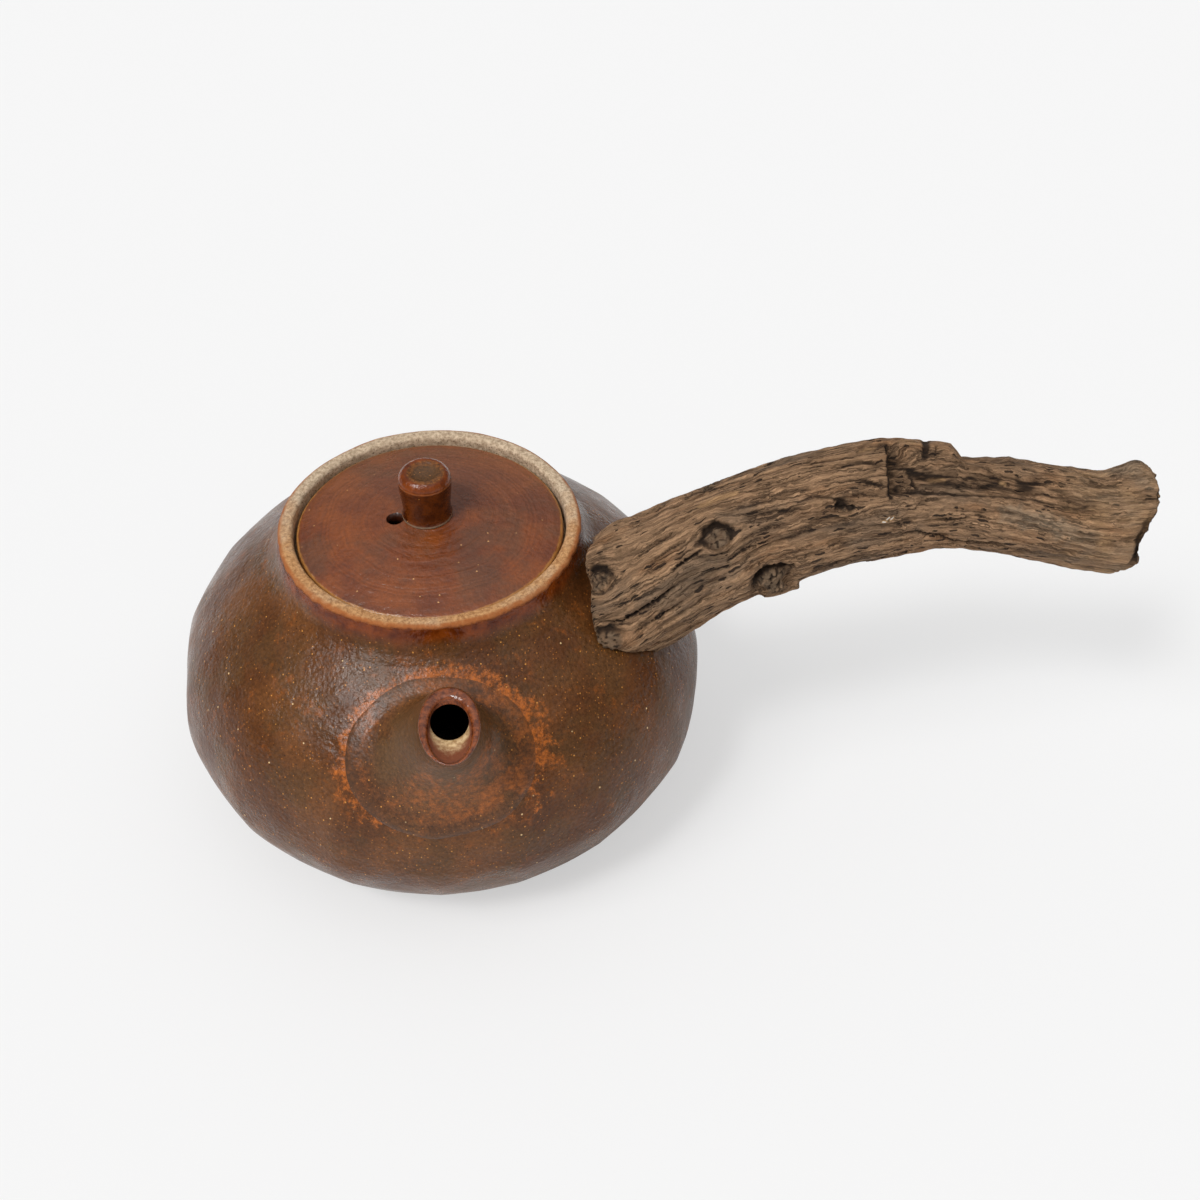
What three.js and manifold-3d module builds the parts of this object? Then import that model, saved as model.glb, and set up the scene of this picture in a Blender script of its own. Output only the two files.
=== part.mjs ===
// A side-handled stoneware teapot: a squat thrown pot with a carved belly, a bare-rimmed
// neck, a luted horn spout, a recessed lid with a knob, and a driftwood handle.
// Millimetres, +Z up. The origin is the centre of the flat base, +X runs out along the
// handle and the spout faces -Y.
import * as THREE from "three";
import { mergeVertices } from "three/addons/utils/BufferGeometryUtils.js";
import Module from "manifold-3d";

const wasm = await Module();
wasm.setup();

// Pot
const baseRadius = 37;
const bellyRadius = 62.7;
const bellyHeight = 29.5;
const neckRadius = 36;
const shoulderHeight = 71.3;
const potWall = 4;
const floorThickness = 5;
const floorFillet = 2;
const facetCount = 16;
const facetDepth = 0.65;
const facetWaver = 0.07;
const lowerFullness = 1.7;
const upperFullness = 2.6;
const upperTaper = 1.15;
const facetFullness = 0.7;
const bellyShift = new THREE.Vector2(0.5, -0.9);

// Neck, with the rim and the ledge that carries the lid
const neckMouthRadius = 30;
const rimRise = 7;
const rimRadius = 34.6;
const rimWall = 3.4;
const rimRounding = 1.1;
const rimBand = 2.6;
const collarFootInset = 0.4;
const collarCrease = 1;
const collarCreaseRise = 1.6;
const ledgeRadius = 26.5;
const ledgeRise = 1.3;
const ledgeThickness = 3.4;
const ledgeChamfer = 1;

// Lid
const lidGap = 0.7;
const lidSeatGap = 0.2;
const lidEdgeThickness = 3.2;
const lidThickness = 3.6;
const lidDome = 4.4;
const lidChamfer = 0.6;
const flangeGap = 0.7;
const flangeWall = 3;
const flangeDepth = 8;
const flangeChamfer = 0.8;
const knobFootRadius = 5.2;
const knobTopRadius = 6;
const knobHeight = 12.4;
const knobDish = 0.8;
const knobRounding = 1.1;
// The knob's side: share of its height, and share of its widening from foot to top.
const knobSide = [[0, 0], [0.2, -0.12], [0.4, 0], [0.62, 0.7], [0.78, 1]];
const steamHoleRadius = 1.9;
const steamHoleReach = 7.7;
const steamHoleAngle = 182;

// Spout
const spoutAzimuth = 5;
const skirtHalfWidth = 20.5;
const skirtTopDrop = 3.3;
const skirtBottomRise = 11.5;
const skirtProud = 1.2;
const skirtSpread = 0.42;
const skirtRise = 1.5;
const spoutWall = 2.5;
const boreSquash = 0.8;
const hornInwardDrop = 0.7;
const hornRootDepth = 8;
const mouthInset = 1.7;
const mouthDrop = 3.3;
const mouthRadius = 6.4;
const mouthBore = 4.25;
const mouthLean = 2.8;
const mouthTilt = 80;
const tubeElevation = 32;
const tubeRun = 9;
const tubeRunSwing = 3;
const tubeSeatShare = 0.5;
const wallOpeningRadius = 10;
const wallOpeningRise = 0.9;

// Strainer
const strainerRadius = 14;
const strainerWall = 2.2;
const strainerHoleRadius = 1.5;
// The holes in each ring, and the ring's angle off the dome's middle.
const strainerRings = [[1, 0], [6, 0.42], [12, 0.84]];

// Handle: its clay tenon, the bedding around the tenon, and the driftwood
const tenonRadius = 8;
const tenonTipRadius = 6.4;
const tenonLength = 34;
const tenonVentRadius = 1.6;
const tenonStations = [1, 2.4];
const beddingThickness = 1;
const beddingLength = 22;
const woodStandOff = 1.2;
const woodSeatDrop = 10.7;
const neckClearance = 0.6;
const branchRadius = 4.6;
const branchReach = 15.6;
const branchFlare = 1;
const branchShare = 0.335;
const branchAim = new THREE.Vector3(0.28, -0.72, -0.63).normalize();
const ribDepths = [0.035, 0.02];
const slabDepth = 0.14;
const slabStart = [0.515, 0.535];
const slabEnd = [0.6, 0.66];
const slabTurn = 2.2;
const endReach = 110.8;
const endLean = 23;

// Every piece stops this far short of the one it is fixed to.
const joint = 0.3;

// Heights that follow from the pot's
const rimHeight = shoulderHeight + rimRise;
const ledgeHeight = shoulderHeight + ledgeRise;
const skirtTop = shoulderHeight - skirtTopDrop;
const skirtBottom = bellyHeight + skirtBottomRise;
const mouthHeight = rimHeight - mouthDrop;
const mouthReach = bellyRadius - mouthInset;
const woodStart = neckRadius + woodStandOff;

const aroundPot = 3 * facetCount;
const aroundHollow = 32;
const aroundLid = 48;

// Shape helpers

function solidOf(geometry) {
  const bare = geometry.clone();
  bare.deleteAttribute("normal");
  bare.deleteAttribute("uv");
  const merged = mergeVertices(bare, 1e-4);
  const vertProperties = new Float32Array(merged.attributes.position.array);
  const triVerts = new Uint32Array(merged.index.array);
  return new wasm.Manifold(new wasm.Mesh({ numProp: 3, vertProperties, triVerts }));
}

function geometryOf(solid) {
  const mesh = solid.getMesh();
  const geometry = new THREE.BufferGeometry();
  geometry.setAttribute("position", new THREE.BufferAttribute(mesh.vertProperties, 3));
  geometry.setIndex(new THREE.BufferAttribute(mesh.triVerts, 1));
  geometry.computeVertexNormals();
  return geometry;
}

// A solid of revolution about Z from [radius, height] pairs, anticlockwise in that plane.
function turned(pairs, segments) {
  const points = pairs.map(([radius, height]) => new THREE.Vector2(radius, height));
  return new THREE.LatheGeometry(points, segments).rotateX(Math.PI / 2);
}

// A closed skin through rings of points, each ring anticlockwise as seen from the last one.
function lofted(rings) {
  const count = rings[0].length;
  const points = rings.flat();
  const faces = [];
  for (let ring = 0; ring < rings.length - 1; ring++) {
    for (let side = 0; side < count; side++) {
      const a = ring * count + side;
      const b = ring * count + ((side + 1) % count);
      faces.push(a, b, a + count, b, b + count, a + count);
    }
  }
  const last = (rings.length - 1) * count;
  const capStart = points.length;
  points.push(middleOf(rings[0]), middleOf(rings.at(-1)));
  for (let side = 0; side < count; side++) {
    const next = (side + 1) % count;
    faces.push(capStart, next, side, capStart + 1, last + side, last + next);
  }
  return new THREE.BufferGeometry().setFromPoints(points).setIndex(faces);
}

function middleOf(points) {
  const sum = new THREE.Vector3();
  for (const point of points) sum.add(point);
  return sum.divideScalar(points.length);
}

// A cylinder or cone from one point to another.
function rod(from, to, startRadius, endRadius, sides) {
  const along = to.clone().sub(from);
  const geometry = new THREE.CylinderGeometry(endRadius, startRadius, along.length(), sides);
  const turn = new THREE.Quaternion().setFromUnitVectors(
    new THREE.Vector3(0, 1, 0),
    along.clone().normalize(),
  );
  const middle = from.clone().add(to).multiplyScalar(0.5);
  return geometry.applyQuaternion(turn).translate(middle.x, middle.y, middle.z);
}

function block(from, to) {
  const size = to.clone().sub(from);
  const middle = from.clone().add(to).multiplyScalar(0.5);
  return new THREE.BoxGeometry(size.x, size.y, size.z).translate(middle.x, middle.y, middle.z);
}

// Pot body

// The belly is fuller than a circle's arc above its widest ring and flatter below it.
function potRadius(height) {
  if (height < bellyHeight) {
    const down = 1 - Math.max(height, 0) / bellyHeight;
    const round = Math.pow(1 - Math.pow(down, lowerFullness), 1 / lowerFullness);
    return baseRadius + (bellyRadius - baseRadius) * round;
  }
  const up = Math.min((height - bellyHeight) / (shoulderHeight - bellyHeight), 1);
  const round = Math.pow(1 - Math.pow(up, upperFullness), upperTaper);
  return neckRadius + (bellyRadius - neckRadius) * round;
}

// The side's outline point at one height, lifted square off the side.
function liftedOff(height, lift) {
  const step = 0.05;
  const slope = (potRadius(height + step) - potRadius(Math.max(height - step, 0))) / (2 * step);
  const length = Math.hypot(1, slope);
  return [potRadius(height) + lift / length, height - (lift * slope) / length];
}

// Profile heights crowd together near the base, where the side turns in fast.
function potProfile(grow) {
  const rows = 18;
  const crowding = 1.35;
  const profile = [];
  for (let row = 0; row <= rows; row++) {
    profile.push(liftedOff(shoulderHeight * Math.pow(row / rows, crowding), grow));
  }
  return profile;
}

// The hand-carved facets: flat cuts of uneven width that fade out towards base and neck.
function carved(geometry) {
  const position = geometry.attributes.position;
  const facet = (2 * Math.PI) / facetCount;
  for (let index = 0; index < position.count; index++) {
    const height = position.getZ(index);
    const radius = Math.hypot(position.getX(index), position.getY(index));
    const around = Math.atan2(position.getY(index), position.getX(index));
    const across = THREE.MathUtils.euclideanModulo(around, facet) - facet / 2;
    const share = THREE.MathUtils.clamp(height / shoulderHeight, 0, 1);
    const depth = facetDepth * Math.sin(Math.PI * Math.pow(share, facetFullness));
    const flat = Math.cos(facet / 2) / Math.cos(across);
    const cut = radius * (1 + depth * (flat - 1));
    const angle = around + facetWaver * Math.sin(3 * around + 1);
    const shift = Math.sin(Math.PI * share);
    position.setX(index, cut * Math.cos(angle) + bellyShift.x * shift);
    position.setY(index, cut * Math.sin(angle) + bellyShift.y * shift);
  }
  return geometry;
}

function potOutside(grow) {
  const side = potProfile(grow);
  const foot = side[0];
  const top = side.at(-1);
  return solidOf(carved(turned([[0, foot[1]], ...side, [0, top[1]]], aroundPot)));
}

function potHollow(shrink) {
  const floor = floorThickness + shrink;
  const ceiling = shoulderHeight - potWall;
  const side = potProfile(-potWall - shrink).filter(([, height]) => {
    return height > floor + floorFillet / 2 && height < ceiling - floorFillet;
  });
  const [sideRadius] = side[0];
  const top = shoulderHeight + potWall;
  const mouth = neckMouthRadius - shrink;
  const pairs = [[0, floor], [sideRadius - floorFillet, floor], ...side, [mouth, ceiling]];
  return solidOf(turned([...pairs, [mouth, top], [0, top]], aroundHollow));
}

// Spout frame: outward from the pot at the spout's azimuth

const spoutTurn = THREE.MathUtils.degToRad(spoutAzimuth);

function atSpout(across, outward, height) {
  const point = new THREE.Vector3(across, -outward, height);
  return point.applyAxisAngle(new THREE.Vector3(0, 0, 1), spoutTurn);
}

const skirtMiddle = (skirtTop + skirtBottom) / 2;
const skirtHalfHeight = (skirtTop - skirtBottom) / 2;
const tubeSeat = skirtMiddle + tubeSeatShare * skirtHalfHeight;

// A point on the pot's side in the spout's frame, lifted off the side by the given height.
function onPot(across, height, lift) {
  const [radius, lifted] = liftedOff(height, lift);
  const outward = Math.sqrt(Math.max(radius * radius - across * across, 0));
  const shift = -bellyShift.y * Math.sin((Math.PI * height) / shoulderHeight);
  return [across, outward + shift, lifted];
}

// One flank of the horn runs from its skirt on the pot to the slanted mouth.
function flank(turn, inset, boreRadius) {
  const width = skirtHalfWidth - inset;
  const tall = skirtHalfHeight - inset * boreSquash;
  const across = width * Math.cos(turn);
  const height = skirtMiddle + tall * Math.sin(turn);
  const lift = skirtProud - inset;
  const root = onPot(across, height, lift);
  const rise = (tubeSeat - height) * (1 - skirtSpread);
  const bend = onPot(across * skirtSpread, height + rise, lift + skirtRise);
  const elevation = THREE.MathUtils.degToRad(tubeElevation);
  const tilt = THREE.MathUtils.degToRad(mouthTilt);
  const long = boreRadius / Math.cos(tilt - elevation);
  const lip = new THREE.Vector3(
    mouthLean + boreRadius * Math.cos(turn),
    mouthReach - long * Math.sin(turn) * Math.sin(tilt),
    mouthHeight + long * Math.sin(turn) * Math.cos(tilt),
  );
  const run = tubeRun - tubeRunSwing * Math.sin(turn);
  const behind = lip.clone();
  behind.y -= run * Math.cos(elevation);
  behind.z -= run * Math.sin(elevation);
  return new THREE.CubicBezierCurve3(
    atSpout(...root),
    atSpout(...bend),
    atSpout(behind.x, behind.y, behind.z),
    atSpout(lip.x, lip.y, lip.z),
  );
}

function horn(inset, boreRadius, sides, overrun) {
  const steps = 9;
  const flanks = [];
  for (let side = 0; side < sides; side++) {
    flanks.push(flank((2 * Math.PI * side) / sides, inset, boreRadius));
  }
  const inward = atSpout(0, -1, -hornInwardDrop).multiplyScalar(hornRootDepth);
  const rings = [flanks.map((curve) => curve.getPoint(0).add(inward))];
  for (let step = 0; step <= steps; step++) {
    rings.push(flanks.map((curve) => curve.getPoint(step / steps)));
  }
  if (overrun > 0) {
    const elevation = THREE.MathUtils.degToRad(tubeElevation);
    const outward = atSpout(0, Math.cos(elevation), Math.sin(elevation)).multiplyScalar(overrun);
    rings.push(flanks.map((curve) => curve.getPoint(1).add(outward)));
  }
  return solidOf(lofted(rings));
}

function spoutSolid() {
  const shell = horn(0, mouthRadius, 32, 0).subtract(horn(spoutWall, mouthBore, 20, 3));
  return shell.subtract(potOutside(joint));
}

const wallPoint = atSpout(...onPot(0, skirtMiddle, 0));
const wallOutward = atSpout(0, 1, wallOpeningRise).normalize();

// The wall is cut through under the horn, and a pierced dome covers the cut from inside.
function wallOpening() {
  const far = wallPoint.clone().addScaledVector(wallOutward, potWall);
  const near = wallPoint.clone().addScaledVector(wallOutward, -3 * potWall);
  return solidOf(rod(near, far, wallOpeningRadius, wallOpeningRadius, 24));
}

function strainerSolid() {
  const centre = wallPoint.clone().addScaledVector(wallOutward, -potWall / 2);
  const ball = (radius) =>
    solidOf(new THREE.SphereGeometry(radius, 20, 12).translate(centre.x, centre.y, centre.z));
  let dome = ball(strainerRadius).subtract(ball(strainerRadius - strainerWall));
  dome = dome.intersect(potHollow(joint));
  const inward = wallOutward.clone().negate();
  const side = new THREE.Vector3(0, 0, 1).cross(inward).normalize();
  const rise = inward.clone().cross(side);
  for (const [holes, spread] of strainerRings) {
    for (let hole = 0; hole < holes; hole++) {
      const turn = (2 * Math.PI * hole) / holes;
      const aim = inward.clone().multiplyScalar(Math.cos(spread));
      aim.addScaledVector(side, Math.sin(spread) * Math.cos(turn));
      aim.addScaledVector(rise, Math.sin(spread) * Math.sin(turn));
      const from = centre.clone().addScaledVector(aim, strainerRadius - 2 * strainerWall);
      const to = centre.clone().addScaledVector(aim, strainerRadius + strainerWall);
      dome = dome.subtract(solidOf(rod(from, to, strainerHoleRadius, strainerHoleRadius, 6)));
    }
  }
  return dome;
}

// Neck

function neckPairs() {
  const inner = rimRadius - rimWall;
  const arc = rimRounding * (1 - Math.SQRT1_2);
  const mouth = neckMouthRadius - joint;
  const ledgeUnder = ledgeHeight - ledgeThickness;
  return [
    [mouth, shoulderHeight],
    [neckRadius - collarFootInset, shoulderHeight],
    [neckRadius - collarCrease, shoulderHeight + collarCreaseRise],
    [rimRadius, rimHeight - rimBand],
    [rimRadius, rimHeight - rimRounding],
    [rimRadius - arc, rimHeight - arc],
    [rimRadius - rimRounding, rimHeight],
    [inner + rimRounding, rimHeight],
    [inner + arc, rimHeight - arc],
    [inner, rimHeight - rimRounding],
    [inner, ledgeHeight],
    [ledgeRadius, ledgeHeight],
    [ledgeRadius, ledgeUnder],
    [mouth, ledgeUnder - ledgeChamfer],
    [mouth, shoulderHeight],
  ];
}

// Lid

const lidRadius = rimRadius - rimWall - lidGap;
const lidUnder = ledgeHeight + lidSeatGap;

function lidTop(radius) {
  const share = radius / lidRadius;
  return lidUnder + lidEdgeThickness + lidDome * (1 - share * share);
}

function lidDiscSolid() {
  const flangeOuter = ledgeRadius - flangeGap;
  const pairs = [[0, lidTop(0) - lidThickness]];
  for (const share of [0.25, 0.5, 0.75]) {
    const radius = share * (flangeOuter - flangeWall);
    pairs.push([radius, lidTop(radius) - lidThickness]);
  }
  pairs.push([flangeOuter - flangeWall, lidUnder]);
  pairs.push([lidRadius - lidChamfer, lidUnder]);
  pairs.push([lidRadius, lidUnder + lidChamfer]);
  pairs.push([lidRadius, lidTop(lidRadius) - lidChamfer]);
  for (const share of [0.98, 0.9, 0.75, 0.6, 0.45, 0.3]) {
    pairs.push([share * lidRadius, lidTop(share * lidRadius)]);
  }
  pairs.push([knobFootRadius, lidTop(knobFootRadius)]);
  pairs.push([0, lidTop(knobFootRadius)]);
  const turn = THREE.MathUtils.degToRad(steamHoleAngle);
  const x = steamHoleReach * Math.cos(turn);
  const y = steamHoleReach * Math.sin(turn);
  const low = new THREE.Vector3(x, y, lidUnder - lidThickness);
  const high = new THREE.Vector3(x, y, lidTop(0) + lidThickness);
  const hole = solidOf(rod(low, high, steamHoleRadius, steamHoleRadius, 16));
  return solidOf(turned(pairs, aroundLid)).subtract(hole);
}

function flangePairs() {
  const outer = ledgeRadius - flangeGap;
  const inner = outer - flangeWall;
  return [
    [inner, lidUnder],
    [inner, lidUnder - flangeDepth],
    [outer - flangeChamfer, lidUnder - flangeDepth],
    [outer, lidUnder - flangeDepth + flangeChamfer],
    [outer, lidUnder],
    [inner, lidUnder],
  ];
}

function knobPairs() {
  const foot = lidTop(knobFootRadius);
  const top = foot + knobHeight;
  const arc = knobRounding * (1 - Math.SQRT1_2);
  const side = knobSide.map(([share, widening]) => {
    const radius = THREE.MathUtils.lerp(knobFootRadius, knobTopRadius, widening);
    return [radius, foot + share * knobHeight];
  });
  return [
    [0, foot],
    ...side,
    [knobTopRadius, top - knobRounding],
    [knobTopRadius - arc, top - arc],
    [knobTopRadius - knobRounding, top],
    [knobTopRadius - 2 * knobRounding, top],
    [knobTopRadius - 3 * knobRounding, top - knobDish / 2],
    [0, top - knobDish],
  ];
}

// Handle

// The driftwood's run from its seat on the shoulder: out, sideways, up, and its half thickness
// up and across.
const woodRun = [
  [-23, -10.6, -8.6, 15.4, 15],
  [-12, -10.2, -0.6, 15.6, 15.2],
  [-1, -9.6, 6.6, 15.4, 15],
  [12, -8, 14.8, 14.7, 14.2],
  [26, -6, 20.8, 14.2, 13.4],
  [39.5, -4, 24.8, 13.8, 13],
  [53, -2.5, 26.5, 13.8, 12.6],
  [66.5, -1, 26, 12.2, 11.6],
  [80.3, 0.5, 21.6, 10.9, 10.4],
  [94.4, 1.2, 17.8, 11.4, 10.6],
  [105, 1.8, 15.8, 12.5, 11],
  [114, 2.1, 15.4, 13.2, 11.4],
  [123, 2.2, 16, 13.2, 11.2],
];
const seatHeight = shoulderHeight - woodSeatDrop;

const woodSpine = new THREE.CatmullRomCurve3(
  woodRun.map(([out, sideways, up]) => {
    return new THREE.Vector3(potRadius(seatHeight) + out, sideways, seatHeight + up);
  }),
  false,
  "centripetal",
);

function woodThickness(share) {
  const place = share * (woodRun.length - 1);
  const index = Math.min(Math.floor(place), woodRun.length - 2);
  const between = place - index;
  const [tall, wide] = [3, 4].map((column) =>
    THREE.MathUtils.lerp(woodRun[index][column], woodRun[index + 1][column], between),
  );
  return { tall, wide };
}

// Weathered wood isn't round: slow ribs wander along it, and a slab has broken off its top.
function woodRing(share, sides) {
  const centre = woodSpine.getPoint(share);
  const along = woodSpine.getTangent(share);
  const across = new THREE.Vector3(0, 0, 1).cross(along).normalize();
  const rise = along.clone().cross(across);
  const { tall, wide } = woodThickness(share);
  const ring = [];
  for (let side = 0; side < sides; side++) {
    const turn = (2 * Math.PI * side) / sides;
    const slowRib = ribDepths[0] * Math.sin(3 * turn + 7 * share);
    const quickRib = ribDepths[1] * Math.sin(5 * turn - 9 * share);
    const size = 1 + slowRib + quickRib - slabBreak(share, turn);
    const point = centre.clone();
    point.addScaledVector(across, size * wide * Math.cos(turn));
    point.addScaledVector(rise, size * tall * Math.sin(turn));
    ring.push(point);
  }
  return ring;
}

function slabBreak(share, turn) {
  const start = THREE.MathUtils.smoothstep(share, ...slabStart);
  const end = 1 - THREE.MathUtils.smoothstep(share, ...slabEnd);
  const upperFront = Math.max(0, Math.cos(turn - slabTurn));
  return slabDepth * start * end * upperFront;
}

function woodOutside() {
  const sides = 28;
  const steps = 40;
  const rings = [];
  for (let step = 0; step <= steps; step++) rings.push(woodRing(step / steps, sides));
  return solidOf(lofted(rings));
}

// A broken branch stump points down and forward from the underside.
function branchStump() {
  const from = woodSpine.getPoint(branchShare);
  const to = from.clone().addScaledVector(branchAim, branchReach);
  return solidOf(rod(from, to, branchRadius + branchFlare, branchRadius, 14));
}

const [tenonStart, tenonEnd] = tenonStations.map((station) => station / (woodRun.length - 1));
const tenonRoot = woodSpine.getPoint(tenonStart);
const tenonAim = woodSpine
  .getPoint(tenonEnd)
  .sub(tenonRoot)
  .normalize();

function tenonPoint(distance) {
  return tenonRoot.clone().addScaledVector(tenonAim, distance);
}

function tenonRadiusAt(distance) {
  return THREE.MathUtils.lerp(tenonRadius, tenonTipRadius, distance / tenonLength);
}

function tenonCone(grow, start, end) {
  const wide = tenonRadiusAt(start) + grow;
  const narrow = tenonRadiusAt(end) + grow;
  return solidOf(rod(tenonPoint(start), tenonPoint(end), wide, narrow, 28));
}

function tenonSolid() {
  const ventSides = 8;
  const vent = rod(
    tenonPoint(tenonLength / 2),
    tenonPoint(tenonLength + 1),
    tenonVentRadius,
    tenonVentRadius,
    ventSides,
  );
  return tenonCone(0, -2, tenonLength).subtract(solidOf(vent)).subtract(potOutside(joint));
}

function beddingSolid() {
  const end = tenonLength - joint;
  const start = end - beddingLength;
  const sleeve = tenonCone(joint + beddingThickness, start, end);
  return sleeve.subtract(tenonCone(joint, start - 1, end + 1)).subtract(potOutside(2 * joint));
}

// The wood's outer end is broken off on a slant, its upper edge the longer.
function farEnd() {
  const far = 100;
  const beyond = block(new THREE.Vector3(0, -far, -far), new THREE.Vector3(far, far, far));
  beyond.rotateY(THREE.MathUtils.degToRad(endLean));
  return beyond.translate(potRadius(seatHeight) + endReach, 0, seatHeight + woodRun.at(-1)[2]);
}

function woodSolid() {
  const far = 400;
  const endCut = block(new THREE.Vector3(-far, -far, -far), new THREE.Vector3(woodStart, far, far));
  const neckPost = turned(
    [[0, 0], [neckRadius + neckClearance, 0], [neckRadius + neckClearance, far], [0, far]],
    48,
  );
  const socket = tenonCone(2 * joint + beddingThickness, -2, tenonLength + joint);
  return woodOutside()
    .add(branchStump())
    .subtract(solidOf(endCut))
    .subtract(solidOf(farEnd()))
    .subtract(solidOf(neckPost))
    .subtract(socket)
    .subtract(potOutside(joint));
}

// Materials

function clay(color, roughness) {
  return new THREE.MeshStandardMaterial({ color, roughness, metalness: 0 });
}

const ironGlaze = clay(0x664a30, 0.42);
const bareRim = clay(0xb28561, 0.7);
const lidGlaze = clay(0x7b4b32, 0.38);
const knobGlaze = clay(0x532f17, 0.3);
const hiddenClay = clay(0xa98e70, 0.85);
const bedding = clay(0x2a1d14, 0.5);
const driftwood = clay(0x7c6049, 0.9);

const teapot = new THREE.Group();

function piece(name, geometry, material) {
  const mesh = new THREE.Mesh(geometry, material);
  mesh.name = name;
  teapot.add(mesh);
}

const potShell = potOutside(0).subtract(potHollow(0)).subtract(wallOpening());
piece("pot_body", geometryOf(potShell), ironGlaze);
piece("neck_collar", turned(neckPairs(), aroundPot), bareRim);
piece("spout", geometryOf(spoutSolid()), ironGlaze);
piece("strainer", geometryOf(strainerSolid()), hiddenClay);
piece("handle_tenon", geometryOf(tenonSolid()), hiddenClay);
piece("handle_bedding", geometryOf(beddingSolid()), bedding);
piece("driftwood_handle", geometryOf(woodSolid()), driftwood);
piece("lid_disc", geometryOf(lidDiscSolid()), lidGlaze);
piece("lid_flange", turned(flangePairs(), aroundLid), hiddenClay);
piece("lid_knob", turned(knobPairs(), 32), knobGlaze);

export default teapot;
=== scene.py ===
import math

import bpy
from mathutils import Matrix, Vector, kdtree, noise


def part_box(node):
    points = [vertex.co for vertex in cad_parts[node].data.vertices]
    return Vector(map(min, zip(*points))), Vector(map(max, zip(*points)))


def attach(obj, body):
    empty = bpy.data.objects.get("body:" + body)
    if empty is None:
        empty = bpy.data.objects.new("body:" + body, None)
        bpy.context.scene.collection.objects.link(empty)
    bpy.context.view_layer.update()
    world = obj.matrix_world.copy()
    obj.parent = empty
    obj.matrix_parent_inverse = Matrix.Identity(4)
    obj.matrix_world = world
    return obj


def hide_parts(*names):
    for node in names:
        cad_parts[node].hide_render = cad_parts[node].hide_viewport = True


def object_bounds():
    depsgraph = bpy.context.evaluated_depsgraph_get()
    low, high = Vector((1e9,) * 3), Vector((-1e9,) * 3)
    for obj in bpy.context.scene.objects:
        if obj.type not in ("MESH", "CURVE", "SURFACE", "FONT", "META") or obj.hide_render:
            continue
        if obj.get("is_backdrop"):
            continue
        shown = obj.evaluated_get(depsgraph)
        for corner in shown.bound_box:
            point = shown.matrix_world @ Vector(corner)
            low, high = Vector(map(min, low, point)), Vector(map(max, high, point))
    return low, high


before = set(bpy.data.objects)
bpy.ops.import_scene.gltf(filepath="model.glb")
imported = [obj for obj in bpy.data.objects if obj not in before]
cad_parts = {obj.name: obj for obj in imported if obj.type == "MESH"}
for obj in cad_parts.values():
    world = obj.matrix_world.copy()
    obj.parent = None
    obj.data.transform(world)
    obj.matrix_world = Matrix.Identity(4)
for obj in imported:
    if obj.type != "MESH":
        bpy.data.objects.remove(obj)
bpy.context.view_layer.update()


# The pot: one thrown stoneware shell, pared with soft upright facets while leather-hard and
# dipped in an iron glaze. The glaze breaks orange where it lies thin round the luted spout.

MM = 0.001
base_radius, belly_radius, belly_height = 37.0, 62.7, 29.5
neck_radius, shoulder_height, pot_wall, floor_thickness = 36.0, 71.3, 4.0, 5.0
facets, facet_depth, facet_waver = 16, 0.6, 0.07
pot_lean = (0.5, -0.9)
wall_hole_radius = 10.0


def pot_radius(height):
    if height < belly_height:
        down = 1 - max(height, 0) / belly_height
        return base_radius + (belly_radius - base_radius) * (1 - down**1.58) ** (1 / 1.58)
    up = min((height - belly_height) / (shoulder_height - belly_height), 1)
    return neck_radius + (belly_radius - neck_radius) * (1 - up**2.6) ** 1.15


def off_side(height, lift):
    """The pot's outline at one height, lifted square off its side."""
    step = 0.05
    slope = (pot_radius(height + step) - pot_radius(max(height - step, 0))) / (2 * step)
    long = math.hypot(1, slope)
    return pot_radius(height) + lift / long, height - lift * slope / long


def on_wheel(name, outline, sides):
    """Pull an outline of radius and height pairs, in mm, up from one point and spin it closed."""
    bpy.ops.object.select_all(action="DESELECT")
    bpy.ops.mesh.primitive_plane_add(size=MM, location=(0, 0, 0))
    piece = bpy.context.object
    piece.name = piece.data.name = name
    bpy.ops.object.mode_set(mode="EDIT")
    bpy.ops.mesh.select_all(action="SELECT")
    bpy.ops.mesh.merge(type="CENTER")
    radius, height = outline[0]
    bpy.ops.transform.translate(value=(radius * MM, 0, height * MM))
    for wider, higher in outline[1:]:
        step = ((wider - radius) * MM, 0, (higher - height) * MM)
        bpy.ops.mesh.extrude_vertices_move(TRANSFORM_OT_translate={"value": step})
        radius, height = wider, higher
    bpy.ops.mesh.select_all(action="SELECT")
    bpy.ops.mesh.spin(steps=sides, angle=math.tau, center=(0, 0, 0), axis=(0, 0, 1))
    bpy.ops.mesh.select_all(action="SELECT")
    bpy.ops.mesh.remove_doubles(threshold=2e-6)
    bpy.ops.mesh.normals_make_consistent(inside=False)
    bpy.ops.object.mode_set(mode="OBJECT")
    bpy.ops.object.shade_smooth()
    return piece


def drill(piece, start, end, radius, sides=48):
    """Cut a round hole from one point to another, in mm."""
    start, end = Vector(start) * MM, Vector(end) * MM
    bpy.ops.object.select_all(action="DESELECT")
    bpy.ops.mesh.primitive_cylinder_add(
        vertices=sides,
        radius=radius * MM,
        depth=(end - start).length,
        location=(start + end) / 2,
        rotation=(end - start).to_track_quat("Z", "Y").to_euler(),
    )
    bit = bpy.context.object
    bpy.context.view_layer.objects.active = piece
    cut = piece.modifiers.new("hole", "BOOLEAN")
    cut.operation, cut.solver, cut.object = "DIFFERENCE", "EXACT", bit
    bpy.ops.object.modifier_apply(modifier=cut.name)
    bpy.data.objects.remove(bit)


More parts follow.
